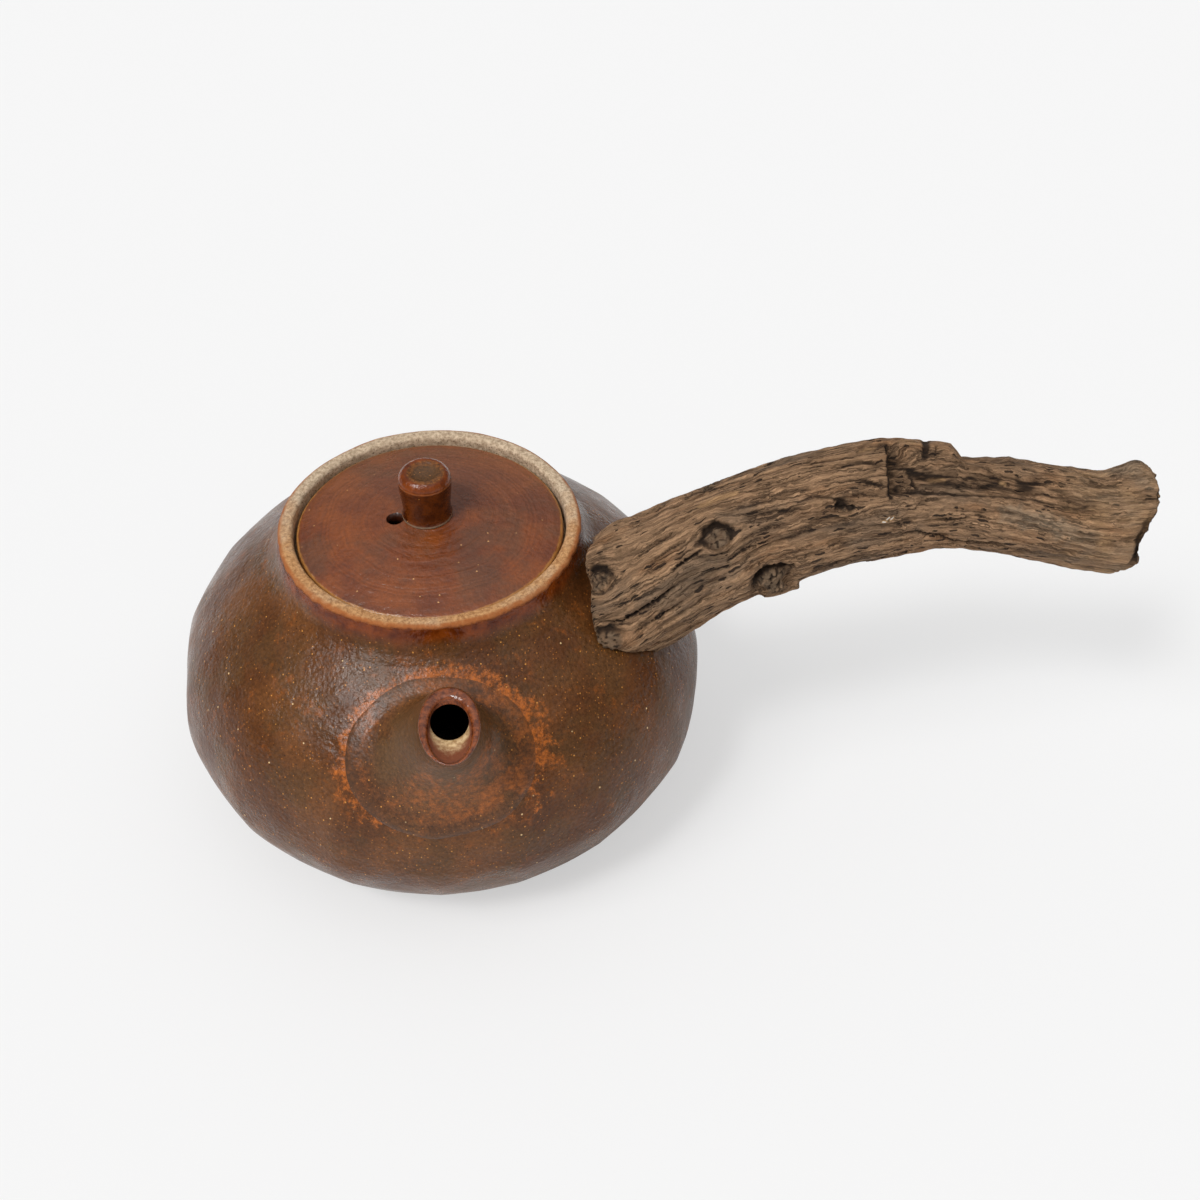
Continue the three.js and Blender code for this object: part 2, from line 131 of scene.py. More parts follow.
def shade(red, green, blue):
    """A colour read off the pot, 0 to 255 in each channel, as a shader takes it."""
    linear = [((c / 255 + 0.055) / 1.055) ** 2.4 if c > 10 else c / 3294.6 for c in (red, green, blue)]
    return (*linear, 1.0)


class Finish:
    """A glaze, clay or wood. Each method adds a node to its material and returns what comes out."""

    def __init__(self, name):
        self.material = bpy.data.materials.new(name)
        self.material.use_nodes = True
        self.tree = self.material.node_tree
        self.tree.nodes.clear()
        self.surface = self.node("BsdfPrincipled")
        self.output = self.node("OutputMaterial", {0: self.surface.outputs[0]})
        place = self.node("TexCoord").outputs["Object"]
        self.place = self.node("VectorMath", {0: place, "Scale": 1000.0}, operation="SCALE").outputs[0]

    def node(self, kind, inputs=None, **settings):
        made = self.tree.nodes.new("ShaderNode" + kind)
        for key, value in settings.items():
            setattr(made, key, value)
        for key, value in (inputs or {}).items():
            self.feed(made.inputs[key], value)
        return made

    def feed(self, socket, value):
        if isinstance(value, bpy.types.NodeSocket):
            self.tree.links.new(value, socket)
        else:
            socket.default_value = value

    def set(self, socket, value):
        self.feed(self.surface.inputs[socket], value)

    def calc(self, operation, first, second=0.0):
        return self.node("Math", {0: first, 1: second}, operation=operation).outputs[0]

    def times(self, first, *others):
        for other in others:
            first = self.calc("MULTIPLY", first, other)
        return first

    def plus(self, first, second):
        return self.calc("ADD", first, second)

    def minus(self, first, second):
        return self.calc("SUBTRACT", first, second)

    def larger(self, first, second):
        return self.calc("MAXIMUM", first, second)

    def vector(self, operation, first, second):
        return self.node("VectorMath", {0: first, 1: second}, operation=operation).outputs[0]

    def parts(self, vector):
        return self.node("SeparateXYZ", {0: vector}).outputs

    def attribute(self, name):
        return self.node("Attribute", attribute_name=name).outputs["Vector"]

    def from_axis(self):
        """How far a place lies from the pot's axis, in mm."""
        flat = self.vector("MULTIPLY", self.place, (1, 1, 0))
        return self.node("VectorMath", {0: flat}, operation="LENGTH").outputs["Value"]

    def ramp(self, value, low, high, to_low=0.0, to_high=1.0):
        inputs = {0: value, 1: low, 2: high, 3: to_low, 4: to_high}
        return self.node("MapRange", inputs, interpolation_type="SMOOTHSTEP").outputs[0]

    def mix(self, share, first, second, blend_type="MIX"):
        return self.node("MixRGB", {0: share, 1: first, 2: second}, blend_type=blend_type).outputs[0]

    def cloud(self, per_mm, detail=3.0, roughness=0.55, place=None):
        place = self.place if place is None else place
        inputs = {"Vector": place, "Scale": per_mm, "Detail": detail, "Roughness": roughness}
        return self.node("TexNoise", inputs).outputs[0]

    def drift(self, cloud, low, high, to_low=0.0, to_high=1.0):
        """A cloud of the given scale and detail, ramped: how a tone changes over a surface."""
        return self.ramp(self.cloud(*cloud), low, high, to_low, to_high)

    def ragged(self, per_mm, detail, roughness, strength):
        """A cloud that goes as far below nought as above it, to break up an edge."""
        return self.times(self.minus(self.cloud(per_mm, detail, roughness), 0.5), strength)

    def dappled(self, color, tone, low, high, darkest, lightest):
        """The colour made darker and lighter as a cloud goes from low to high."""
        return self.mix(1.0, color, self.ramp(tone, low, high, darkest, lightest), "MULTIPLY")

    def specks(self, per_mm, size, rarity):
        """Dots that iron and grog leave: only some cells have one."""
        cells = self.node("TexVoronoi", {"Vector": self.place, "Scale": per_mm})
        near = self.ramp(cells.outputs["Distance"], size, size * 0.45)
        pick = self.parts(cells.outputs["Color"])[0]
        return self.times(near, self.ramp(pick, rarity, rarity + 0.04))

    def speckled(self, color, per_mm, size, rarity, dots):
        return self.mix(self.specks(per_mm, size, rarity), color, dots)

    def bump(self, height, mm, strength, over=None):
        inputs = {"Height": height, "Distance": mm * MM, "Strength": strength}
        if over is not None:
            inputs["Normal"] = over
        raised = self.node("Bump", inputs).outputs[0]
        self.set("Normal", raised)
        return raised


def glaze_ground(finish):
    """Brown iron glaze with slow and quick changes of tone, and its fine specks."""
    slow = finish.drift((0.05, 3), 0.35, 0.65)
    tone = finish.mix(slow, shade(78, 44, 19), shade(98, 60, 30))
    olive = finish.drift((0.09, 5), 0.45, 0.62, 0.0, 0.6)
    tone = finish.mix(olive, tone, shade(79, 53, 27))
    rust = finish.drift((0.22, 10, 0.76), 0.55, 0.68, 0.0, 0.55)
    tone = finish.mix(rust, tone, shade(134, 72, 24))
    tone = finish.dappled(tone, finish.cloud(1.3, 8, 0.75), 0.32, 0.68, 0.68, 1.36)
    tone = finish.speckled(tone, 1.5, 0.28, 0.76, shade(160, 98, 42))
    tone = finish.speckled(tone, 1.1, 0.24, 0.84, shade(50, 30, 16))
    tone = finish.speckled(tone, 0.75, 0.17, 0.76, shade(196, 134, 62))
    return finish.speckled(tone, 0.36, 0.1, 0.74, shade(214, 182, 132))


def orange_glaze(finish):
    streaks = finish.drift((0.8, 9, 0.8), 0.36, 0.66)
    return finish.mix(streaks, shade(92, 50, 21), shade(178, 98, 38))


def glaze_skin(finish, gloss=0.27, peel=0.2):
    """Orange-peel gloss: the glaze pulled into small pillows as it cooled."""
    dull = finish.drift((0.12, 4), 0.3, 0.7, gloss - 0.06, gloss + 0.1)
    finish.set("Roughness", dull)
    finish.set("Specular IOR Level", 0.24)
    pillows = finish.plus(finish.cloud(1.1, 3, 0.5), finish.times(finish.cloud(0.2, 2, 0.5), 2.0))
    return dull, finish.bump(pillows, peel, 1.0)


outside = [(0, 0), (12, 0), (24, 0), (33, 0)]
outside += [(pot_radius(h), h) for h in (shoulder_height * (row / 76) ** 1.5 for row in range(77))]
inside = [off_side(64.5 * (row / 30) ** 1.3, -pot_wall) for row in range(30, 0, -1)]
inside = [point for point in inside if floor_thickness + 1 < point[1] < 65.3]
foot = inside[-1][0]
mouth = [(33, shoulder_height), (30.2, shoulder_height), (29.8, 70.9), (29.7, 69), (29.7, 67.3)]
basin = [(radius, floor_thickness) for radius in (foot - 2, foot - 8, 26, 13, 0)]
pot = on_wheel("glazed_pot", outside + mouth + inside + basin, 192)

spout_azimuth = math.radians(5)
skirt_middle, skirt_half_height, skirt_half_width = 54.5, 13.5, 20.5


def at_spout(across, outward, height):
    """A point given across, out from the axis and up, turned to where the spout faces."""
    x, y = across, -outward
    cosine, sine = math.cos(spout_azimuth), math.sin(spout_azimuth)
    return Vector((x * cosine - y * sine, x * sine + y * cosine, height))


def on_pot(across, height, lift):
    radius, lifted = off_side(height, lift)
    shift = -pot_lean[1] * math.sin(math.pi * height / shoulder_height)
    return at_spout(across, math.sqrt(max(radius**2 - across**2, 0)) + shift, lifted)


seam_steps = 120
seam_points = kdtree.KDTree(seam_steps)
for index in range(seam_steps):
    turn = math.tau * index / seam_steps
    across, height = skirt_half_width * math.cos(turn), skirt_middle + skirt_half_height * math.sin(turn)
    seam_points.insert(on_pot(across, height, 0), index)
seam_points.balance()
# How strongly, and how far out in mm, the glaze turned orange, by degrees round the seam.
halo_table = [
    (0, 0.75, 6.8), (25, 0.85, 6.0), (50, 0.85, 4.0), (75, 1.05, 3.4), (105, 1.1, 3.0), (130, 0.8, 2.4),
    (155, 0.85, 2.6), (185, 1.1, 3.6), (210, 0.75, 4.2), (228, 0.7, 3.6), (245, 0.12, 3), (285, 0.05, 3),
    (305, 0.3, 5), (325, 0.7, 6), (345, 0.75, 7.2), (360, 0.75, 6.8),
]


def soft(value):
    value = min(max(value, 0), 1)
    return value * value * (3 - 2 * value)


def rough(point, size=1, shift=(0, 0, 0)):
    """How uneven a surface is at a point, from -1 to 1, with lumps of about the size given."""
    return noise.noise(Vector(point) / size + Vector(shift))


def halo_at(degrees):
    for (low, weak, near), (high, strong, far) in zip(halo_table, halo_table[1:]):
        if degrees <= high:
            share = (degrees - low) / (high - low)
            return weak + (strong - weak) * share, near + (far - near) * share


def pared(point):
    """Where paring, the lean and the potter's hand took a point of the turned skin, in mm."""
    x, y, z = point
    radius, around = math.hypot(x, y), math.atan2(y, x)
    share = min(max(z / shoulder_height, 0), 1)
    across = around % (math.tau / facets) - math.pi / facets
    flat = math.cos(math.pi / facets) / math.cos(across)
    radius *= 1 + facet_depth * math.sin(math.pi * share**0.7) * soft(z / 28) * (flat - 1)
    around += facet_waver * math.sin(3 * around + 1)
    swell = math.sin(math.pi * share)
    x = radius * math.cos(around) + pot_lean[0] * swell
    y = radius * math.sin(around) + pot_lean[1] * swell
    hand = 0.3 * rough((x, y, z), 19) + 0.14 * rough((x, y, z), 7)
    hand = hand * min(1, 4 * swell) - 0.12
    x, y = x * (1 + hand / max(radius, 1)), y * (1 + hand / max(radius, 1))
    return Vector((x, y, z))


for vertex in pot.data.vertices:
    x, y, z = vertex.co / MM
    if math.hypot(x, y) >= pot_radius(z) - 2:
        vertex.co = pared((x, y, z)) * MM

wall_point = on_pot(0, skirt_middle, 0)
wall_outward = at_spout(0, 1, 0.9).normalized()
drill(pot, wall_point - 12 * wall_outward, wall_point + 4 * wall_outward, wall_hole_radius)


def mark_halo(piece):
    """Write how orange each point fired, and how deep under the spout's skirt it lies, for painted shade."""
    halo = piece.data.attributes.new("halo", "FLOAT_VECTOR", "POINT")
    for vertex, mark in zip(piece.data.vertices, halo.data):
        x, y, z = vertex.co / MM
        side = x * math.cos(spout_azimuth) + y * math.sin(spout_azimuth)
        ring = math.hypot(side / skirt_half_width, (z - skirt_middle) / skirt_half_height)
        if y > 0 or z < 20 or (ring > 0.8 and math.hypot(x, y) < pot_radius(z) - 2):
            continue
        _, index, distance = seam_points.find(Vector((x, y, z)))
        strength, reach = halo_at(index * 360 / seam_steps)
        if ring > 1:
            mark.vector = (strength * math.exp(-((distance / reach) ** 2)), 0, 0)
        else:
            mark.vector = (strength, 0, soft((distance - 2) / 2))


def haloed_ground(finish):
    """The brown ground, turned orange round the spout's seam, and near black under its skirt: painted shade.
    """
    color = glaze_ground(finish)
    fired, _, skirt_shade = finish.parts(finish.attribute("halo"))
    orange = finish.ramp(finish.plus(fired, finish.ragged(0.2, 10, 0.78, 4.0)), 0.38, 1.0)
    orange = finish.times(orange, finish.ramp(fired, 0.04, 0.35))
    color = finish.mix(orange, color, orange_glaze(finish))
    pale = finish.specks(0.75, 0.2, 0.7)
    color = finish.mix(finish.times(pale, orange), color, shade(214, 150, 78))
    return finish.mix(skirt_shade, color, shade(6, 4, 3)), skirt_shade


mark_halo(pot)
glaze = Finish("iron_glaze_pot")
color, skirt_shade = haloed_ground(glaze)
glaze.set("Base Color", color)
glaze_skin(glaze)
# No shine under the skirt, so the painted shade there stays dark.
glaze.set("Specular IOR Level", glaze.ramp(skirt_shade, 0.0, 0.5, 0.24, 0.0))
pot.data.materials.append(glaze.material)
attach(pot, "pot")
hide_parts("pot_body")


# The neck: the same clay, with the ledge that carries the lid inside it. The glaze was wiped
# off its rim before firing, so the lid would not stick, and the bare clay shows its sand.

rim_height, rim_radius, rim_inner = 78.3, 34.6, 31.2
rounding_outside, rounding_inside = 1.1, 1.0
neck_outline = [(29.7, 71.2), (32.5, 71.2), (35, 70.2), (37, 68.8), (38.6, 67.8), (39.6, 67.3), (40.1, 67.4)]
neck_outline += [(40.18, 67.7), (39.72, 68.1), (39.14, 68.6), (38.46, 69.2), (37.83, 69.8), (37.2, 70.46)]
neck_outline += [(36.63, 71.1), (36.12, 71.75), (35.7, 72.4), (35.36, 73.1)]
neck_outline += [(35.08, 73.85), (34.88, 74.65), (34.74, 75.5), (34.64, 76.4), (34.6, 77.2)]


def rounded(middle, size, degrees):
    """Points of a rounded edge about its middle, given as radius and height."""
    turns = [math.radians(degree) for degree in degrees]
    return [(middle[0] + size * math.cos(turn), middle[1] + size * math.sin(turn)) for turn in turns]


middle = (rim_radius - rounding_outside, rim_height - rounding_outside)
neck_outline += rounded(middle, rounding_outside, range(18, 91, 18)) + [(33.1, 78.33), (32.7, 78.33)]
middle = (rim_inner + rounding_inside, rim_height - rounding_inside)
neck_outline += rounded(middle, rounding_inside, range(90, 181, 18))
neck_outline += [(31.2, 76.4), (31.2, 75.4), (31.2, 74.3), (31.15, 73.2), (31, 72.8), (30.6, 72.6)]
neck_outline += [(29, 72.6), (27.2, 72.6), (26.6, 72.4), (26.5, 71.8), (26.5, 70), (26.6, 69.3)]
neck_outline += [(27.2, 69), (29.7, 68.2), (29.7, 69.6), (29.7, 71.2)]
neck = on_wheel("neck_with_bare_rim", neck_outline, 192)
for vertex in neck.data.vertices:
    x, y, z = vertex.co / MM
    if math.hypot(x, y) > 33.5:
        share = soft((74.5 - z) / 3.5)
        vertex.co = vertex.co.lerp(pared((x, y, z)) * MM, share)
    if z > 71.3 and math.hypot(x, y) > 30.9:
        above = min(1, (z - 71.3) / 4)
        uneven = 0.22 * rough((x, y, 3.1), 11) + 0.08 * rough((x, y, z), 2.2)
        outward = Vector((x, y, 0)).normalized()
        drop = 0.3 * above * abs(rough((x, y, 20), 13)) if z > 76 else 0
        vertex.co += (outward * uneven * above - Vector((0, 0, drop))) * MM

mark_halo(neck)
clay = Finish("bare_rim_and_red_band")
_, backward, height = clay.parts(clay.place)
reach = clay.from_axis()
# Sandy clay, paler and greyer towards the back and in patches, with open pits in the well where the lid sits.
sand = clay.drift((1.1, 8, 0.75), 0.34, 0.66)
color = clay.mix(sand, shade(146, 100, 60), shade(204, 156, 106))
paler_back = clay.plus(clay.ramp(backward, -16, 26), clay.times(clay.cloud(0.14, 4), 1.4))
paler_back = clay.ramp(paler_back, 0.6, 1.5, 0, 0.8)
color = clay.mix(paler_back, color, clay.mix(sand, shade(148, 130, 108), shade(212, 196, 172)))
well = clay.times(clay.ramp(reach, 31.9, 31.2), clay.ramp(height, 78.3, 77.2))
pits = clay.times(clay.specks(1.7, 0.36, 0.3), clay.ramp(well, 0, 1, 0.3, 0.85))
color = clay.mix(pits, color, shade(84, 62, 44))
# Below a wandering line the glaze begins: an orange stain, the red band, then the pot's brown.
line = clay.plus(height, clay.ragged(0.3, 6, 0.65, 3.0))
stained = clay.times(clay.ramp(reach, 33.3, 34.1), clay.ramp(line, 79.2, 77.6))
color = clay.mix(clay.times(stained, 0.9), color, shade(150, 84, 38))
glazed = clay.times(clay.ramp(reach, 33.0, 34.3), clay.ramp(line, 77.7, 76.9))
red = clay.mix(clay.drift((0.35, 6), 0.3, 0.7), shade(78, 28, 3), shade(122, 56, 12))
ground, _ = haloed_ground(clay)
low_line = clay.plus(height, clay.times(clay.cloud(0.12, 3), 3.0))
red = clay.mix(clay.ramp(low_line, 73.6, 77.2), ground, red)
color = clay.mix(glazed, color, red)
clay.set("Base Color", color)
gloss, pillows = glaze_skin(clay)
gloss = clay.minus(gloss, clay.ramp(low_line, 73, 76, 0, 0.1))
clay.set("Roughness", clay.node("MapRange", {0: glazed, 1: 0.0, 2: 1.0, 3: 0.85, 4: gloss}).outputs[0])
grit = clay.times(clay.cloud(1.6, 6, 0.7), clay.minus(1.0, glazed))
clay.bump(grit, 0.25, 0.9, over=pillows)
neck.data.materials.append(clay.material)
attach(neck, "pot")
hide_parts("neck_collar")


# The strainer: a thin dome of the same clay, pierced by hand and luted inside the wall behind
# the spout. It never shows from outside, so the imported dome stays. Its clay is made dark
# brown: painted shade for the dark inside seen down the bore.


def bare_clay(name, per_mm, tones, grog, roughness):
    """Unglazed clay between two tones, with specks of grog given as their rarity and colour."""
    body = Finish(name)
    wash = body.drift((per_mm, 6, 0.65), 0.35, 0.65)
    body.set("Base Color", body.speckled(body.mix(wash, *tones), 1.1, 0.3, *grog))
    body.set("Roughness", roughness)
    body.bump(body.cloud(1.4, 6, 0.7), 0.2, 0.8)
    return body


def dress(name, finish):
    """Give a solid that stays as it was packed its finish."""
    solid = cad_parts[name]
    solid.data.materials.clear()
    solid.data.materials.append(finish.material)


# Dark brown strainer clay: painted shade.
strainer_shade_tones, strainer_shade_grog = (shade(34, 22, 14), shade(62, 42, 27)), (0.6, shade(92, 66, 44))
dress("strainer", bare_clay("dark_strainer_clay_shade", 0.3, strainer_shade_tones, strainer_shade_grog, 0.8))


# The spout: a small thrown horn, cut off slantwise at the mouth and luted on over its round
# skirt. Its glaze was wiped from the lip, so the lower inside of the mouth is pale bare clay.

mouth_radius, mouth_lean, mouth_height, mouth_reach = 6.4, 2.8, 75.0, 61.0
spout_wall, skirt_spread, skirt_proud = 6.5, 0.42, 0.3
tube_elevation, mouth_tilt = math.radians(32), math.radians(80)
spout_sides, along_flank = 120, 26


def at_mouth(across, forward, depth):
    """A point given in the slanted cut of the mouth: across it, towards its tip, and below it."""
    outward = mouth_reach + forward * math.sin(mouth_tilt) - depth * math.cos(mouth_tilt)
    height = mouth_height - forward * math.cos(mouth_tilt) - depth * math.sin(mouth_tilt)
    return at_spout(mouth_lean + across, outward, height)


def along(points, share):
    a, b, c, d = points
    rest = 1 - share
    return a * rest**3 + b * (3 * rest**2 * share) + c * (3 * rest * share**2) + d * share**3


def skirt_point(turn, inset, lift):
    inset += 0.5 * rough((2.2 * math.cos(turn), 2.2 * math.sin(turn), 7))
    across = (skirt_half_width - inset) * math.cos(turn)
    return across, skirt_middle + (skirt_half_height - inset * 0.8) * math.sin(turn), lift


def on_skin(turn, inset, lift):
    """A point of the skirt laid on the pot's own pared skin, and lifted a little off it."""
    point = on_pot(*skirt_point(turn, inset, 0))
    _, place, normal, _ = pot.closest_point_on_mesh(point * MM)
    return place / MM + normal * lift


def horn_line(turn):
    """One closed line: up the outside from the seam, over the lip and down the bore."""
    fold = 1 + 1.2 * (1 - math.sin(turn)) / 2
    across, height, lift = skirt_point(turn, 0, skirt_proud)
    rise = (skirt_middle + 0.5 * skirt_half_height - height) * (1 - skirt_spread)
    bend = on_pot(across * skirt_spread, height + rise, lift + 1.5)
    long = mouth_radius / math.cos(mouth_tilt - tube_elevation)
    across_lip, forward = mouth_radius * math.cos(turn), -long * math.sin(turn)
    lip = at_mouth(across_lip, forward, 0)
    run = 9 - 3 * math.sin(turn)
    behind = lip - at_spout(0, run * math.cos(tube_elevation), run * math.sin(tube_elevation))
    edge = on_skin(turn, 2.2, 0.9 * skirt_proud * fold)
    outer = (edge, bend, behind, lip)
    laps = [(-1.0, -0.4), (-0.5, -0.1), (0, 0.06 * fold), (0.7, 0.16 * fold), (1.5, 0.24 * fold)]
    line = [(on_skin(turn, inset, lift), 0.004 * step) for step, (inset, lift) in enumerate(laps)]
    shares = [0.02 + 0.98 * (step / along_flank) ** 1.2 for step in range(along_flank + 1)]
    line += [(along(outer, 0.97 * share), share) for share in shares]
    low = (1 - math.sin(turn)) / 2
    rim_across, rim_forward = 4.5 * math.cos(turn), 0.8 - 7.8 * math.sin(turn)
    inner_rim = at_mouth(rim_across, rim_forward, 0.9 - 0.3 * low)
    over = (
        along(outer, 0.97),
        at_mouth(across_lip * 1.01, forward * 1.01, -0.25),
        at_mouth(rim_across * 1.06, rim_forward * 1.03, -0.35),
        inner_rim,
    )
    line += [(along(over, step / 8), 1 + 0.6 * step / 8) for step in range(1, 9)]
    hole = at_mouth(4.0 * math.cos(turn), -2.4 - 3.95 * math.sin(turn), 1.3 + 1.5 * low)
    sag = Vector((0, 0, -0.5 * low * (1 - abs(math.cos(turn)))))
    for step in range(1, 7):
        sunk = inner_rim.lerp(hole, step / 6) + sag * math.sin(math.pi * step / 6)
        line.append((sunk, 1.6 + 0.4 * step / 6))
    down = at_spout(0, -math.cos(math.radians(56)), -math.sin(math.radians(56)))
    root = on_pot(*skirt_point(turn, spout_wall, -2.4))
    bore = (hole, hole + down * 7, hole + down * 10, root)
    line += [(along(bore, (step / 14) ** 1.5), 2 + step / 14) for step in range(1, 15)]
    line.append((on_pot(*skirt_point(turn, 0.6, -1.6)), 3.0))
    return line


rows = len(horn_line(0))
bpy.ops.object.select_all(action="DESELECT")
bpy.ops.mesh.primitive_torus_add(
    major_segments=spout_sides, minor_segments=rows, major_radius=0.02, minor_radius=0.005, location=(0, 0, 0)
)
spout = bpy.context.object
spout.name = spout.data.name = "horn_spout"
on_horn = spout.data.attributes.new("on_horn", "FLOAT_VECTOR", "POINT")
for side in range(spout_sides):
    turn = math.tau * side / spout_sides
    for row, (point, share) in enumerate(horn_line(turn)):
        index = side * rows + row
        wander = 0.14 * rough(point, 6) + 0.06 * rough(point, 2)
        point = point + Vector((0, 0, wander * soft(share * 8)))
        spout.data.vertices[index].co = point * MM
        on_horn.data[index].vector = (share, math.cos(turn), math.sin(turn))
bpy.ops.object.mode_set(mode="EDIT")
bpy.ops.mesh.select_all(action="SELECT")
bpy.ops.mesh.normals_make_consistent(inside=False)
bpy.ops.object.mode_set(mode="OBJECT")
bpy.ops.object.shade_smooth()

glaze = Finish("iron_glaze_spout")
share, rightward, upward = glaze.parts(glaze.attribute("on_horn"))
olive = glaze.times(glaze.drift((0.12, 4), 0.3, 0.6, 0.2, 0.8), glaze.ramp(share, 0.03, 0.3))
color = glaze.mix(olive, glaze_ground(glaze), shade(86, 60, 34))
color = glaze.dappled(color, glaze.cloud(1.3, 8, 0.75), 0.32, 0.68, 0.8, 1.25)
# Orange lies on the skirt's lower right, and crosses the seam all round but at its very bottom.
lower_right = glaze.ramp(glaze.minus(glaze.times(rightward, 0.6), upward), -0.5, 1.0)
patch = glaze.times(lower_right, glaze.ramp(share, 0.01, 0.08), glaze.ramp(share, 0.7, 0.35))
crossing = glaze.times(glaze.ramp(share, 0.15, 0.02), glaze.ramp(upward, -0.85, -0.3))
crossing = glaze.times(crossing, glaze.ramp(rightward, -0.3, 0.4, 0.5, 1.1))
patch = glaze.larger(patch, crossing)
orange = glaze.plus(glaze.times(patch, 0.7), glaze.ragged(0.2, 10, 0.78, 3.4))
orange = glaze.times(glaze.ramp(orange, 0.25, 0.95), glaze.ramp(patch, 0.0, 0.5, 0.0, 0.54))
color = glaze.mix(orange, color, orange_glaze(glaze))
# The seam is painted darker: painted shade in the groove where the skirt meets the pot.
seam_shade = glaze.times(glaze.ramp(share, 0.05, 0.0), glaze.drift((0.15, 4), 0.35, 0.65, 0.1, 0.6))
color = glaze.mix(seam_shade, color, shade(66, 44, 26))
# The lip is red-brown. Inside it the wiped clay is amber by the glaze, and pale further down.
lip = glaze.ramp(share, 0.95, 1.15)
lip_tone = glaze.drift((0.9, 7, 0.7), 0.35, 0.65)
color = glaze.mix(lip, color, glaze.mix(lip_tone, shade(76, 32, 12), shade(136, 70, 32)))
inward = glaze.plus(share, glaze.ragged(0.8, 6, 0.7, 0.35))
wiped = glaze.times(glaze.ramp(inward, 1.56, 1.72), glaze.ramp(upward, -0.05, -0.4))
sand = glaze.drift((1.2, 6), 0.35, 0.65)
bare = glaze.mix(sand, shade(160, 126, 84), shade(206, 176, 132))
bare = glaze.mix(glaze.ramp(inward, 1.72, 1.96), shade(112, 54, 20), bare)
color = glaze.mix(wiped, color, bare)
# Down the bore the glaze is painted near black: painted shade of the tube's dark inside.
glaze.set("Base Color", glaze.mix(glaze.ramp(share, 1.98, 2.03), color, shade(5, 4, 3)))
gloss, _ = glaze_skin(glaze, 0.34, 0.16)
gloss = glaze.minus(gloss, glaze.times(lip, 0.2))
glaze.set("Roughness", glaze.larger(gloss, glaze.times(glaze.ramp(share, 1.5, 1.7), 0.95)))
# The lip shines more; the bore takes no shine, so its painted shade stays dark.
level = glaze.plus(0.3, glaze.times(lip, 0.35))
glaze.set("Specular IOR Level", glaze.times(level, glaze.ramp(share, 1.94, 2.0, 1.0, 0.0)))
spout.data.materials.append(glaze.material)
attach(spout, "pot")
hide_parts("spout")


# What holds the handle, all of it hidden: a clay tenon on the shoulder, and dark hardened
# lacquer putty that beds the bored-out wood on it.

fired_tones, fired_grog = (shade(150, 118, 84), shade(186, 156, 118)), (0.55, shade(96, 68, 46))
fired_clay = bare_clay("bare_fired_clay", 0.2, fired_tones, fired_grog, 0.85)
dress("handle_tenon", fired_clay)
putty = Finish("lacquer_putty")
tone = putty.drift((0.4, 5), 0.3, 0.7)
putty.set("Base Color", putty.mix(tone, shade(36, 25, 18), shade(58, 42, 30)))
putty.set("Roughness", 0.55)
putty.bump(putty.cloud(0.9, 5), 0.2, 0.7)
dress("handle_bedding", putty)


# The handle: a length of driftwood as it was found, bent, worn soft and grey-brown, with its
# knots, a broken slab, a branch stub and a ragged end. Its foot is cut to fit the shoulder.

spine_points = [
    (-23, -10.6, -8.6), (-12, -10.2, -0.6), (-1, -9.6, 6.6), (12, -8, 14.8), (26, -6, 20.8),
    (39.5, -4, 24.8), (53, -2.5, 26.5), (66.5, -1, 26), (80.3, 0.5, 21.6), (94.4, 1.2, 17.8),
    (105, 1.8, 15.8), (114, 2.1, 15.4), (123, 2.2, 16),
]
spine_points = [Vector((49.05 + x, y, 60.6 + z)) for x, y, z in spine_points]

cad_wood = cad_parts["driftwood_handle"]
bpy.ops.object.select_all(action="DESELECT")
wood = cad_wood.copy()
wood.data = cad_wood.data.copy()
wood.name = wood.data.name = "driftwood"
wood.parent = None
bpy.context.scene.collection.objects.link(wood)
wood.data.materials.clear()
wood.select_set(True)
bpy.context.view_layer.objects.active = wood
bpy.ops.object.mode_set(mode="EDIT")
bpy.ops.mesh.select_all(action="SELECT")
bpy.ops.mesh.remove_doubles(threshold=1e-6)
bpy.ops.object.mode_set(mode="OBJECT")
remesh = wood.modifiers.new("fine_skin", "REMESH")
remesh.mode, remesh.voxel_size, remesh.use_smooth_shade = "VOXEL", 0.00044, True
bpy.ops.object.modifier_apply(modifier=remesh.name)
worn = wood.modifiers.new("worn", "SMOOTH")
worn.factor, worn.iterations = 0.5, 8
bpy.ops.object.modifier_apply(modifier=worn.name)


class Spine:
    """The wood's middle line, with how far along it each place lies."""

    def __init__(self, points, steps=24):
        self.places = []
        padded = [points[0] * 2 - points[1], *points, points[-1] * 2 - points[-2]]
        for a, b, c, d in zip(padded, padded[1:], padded[2:], padded[3:]):
            for step in range(steps):
                t = step / steps
                bend = (2 * a - 5 * b + 4 * c - d) * t**2 + (3 * b - a - 3 * c + d) * t**3
                self.places.append((2 * b + (c - a) * t + bend) / 2)
        self.places.append(points[-1])
        self.run = [0.0]
        for a, b in zip(self.places, self.places[1:]):
            self.run.append(self.run[-1] + (b - a).length)
        self.tree = kdtree.KDTree(len(self.places))
        for index, point in enumerate(self.places):
            self.tree.insert(point, index)
        self.tree.balance()

    def frame_at(self, point):
        """Distance along, offsets sideways and upwards, and the three directions of the wood there."""
        _, index, _ = self.tree.find(point)
        index = min(max(index, 1), len(self.places) - 2)
        aim = (self.places[index + 1] - self.places[index - 1]).normalized()
        sideways = Vector((0, 0, 1)).cross(aim).normalized()
        upward = aim.cross(sideways)
        offset = point - self.places[index]
        run = self.run[index] + offset.dot(aim)
        return run, offset.dot(sideways), offset.dot(upward), aim, sideways, upward


spine = Spine(spine_points)
skin = wood.data.vertices
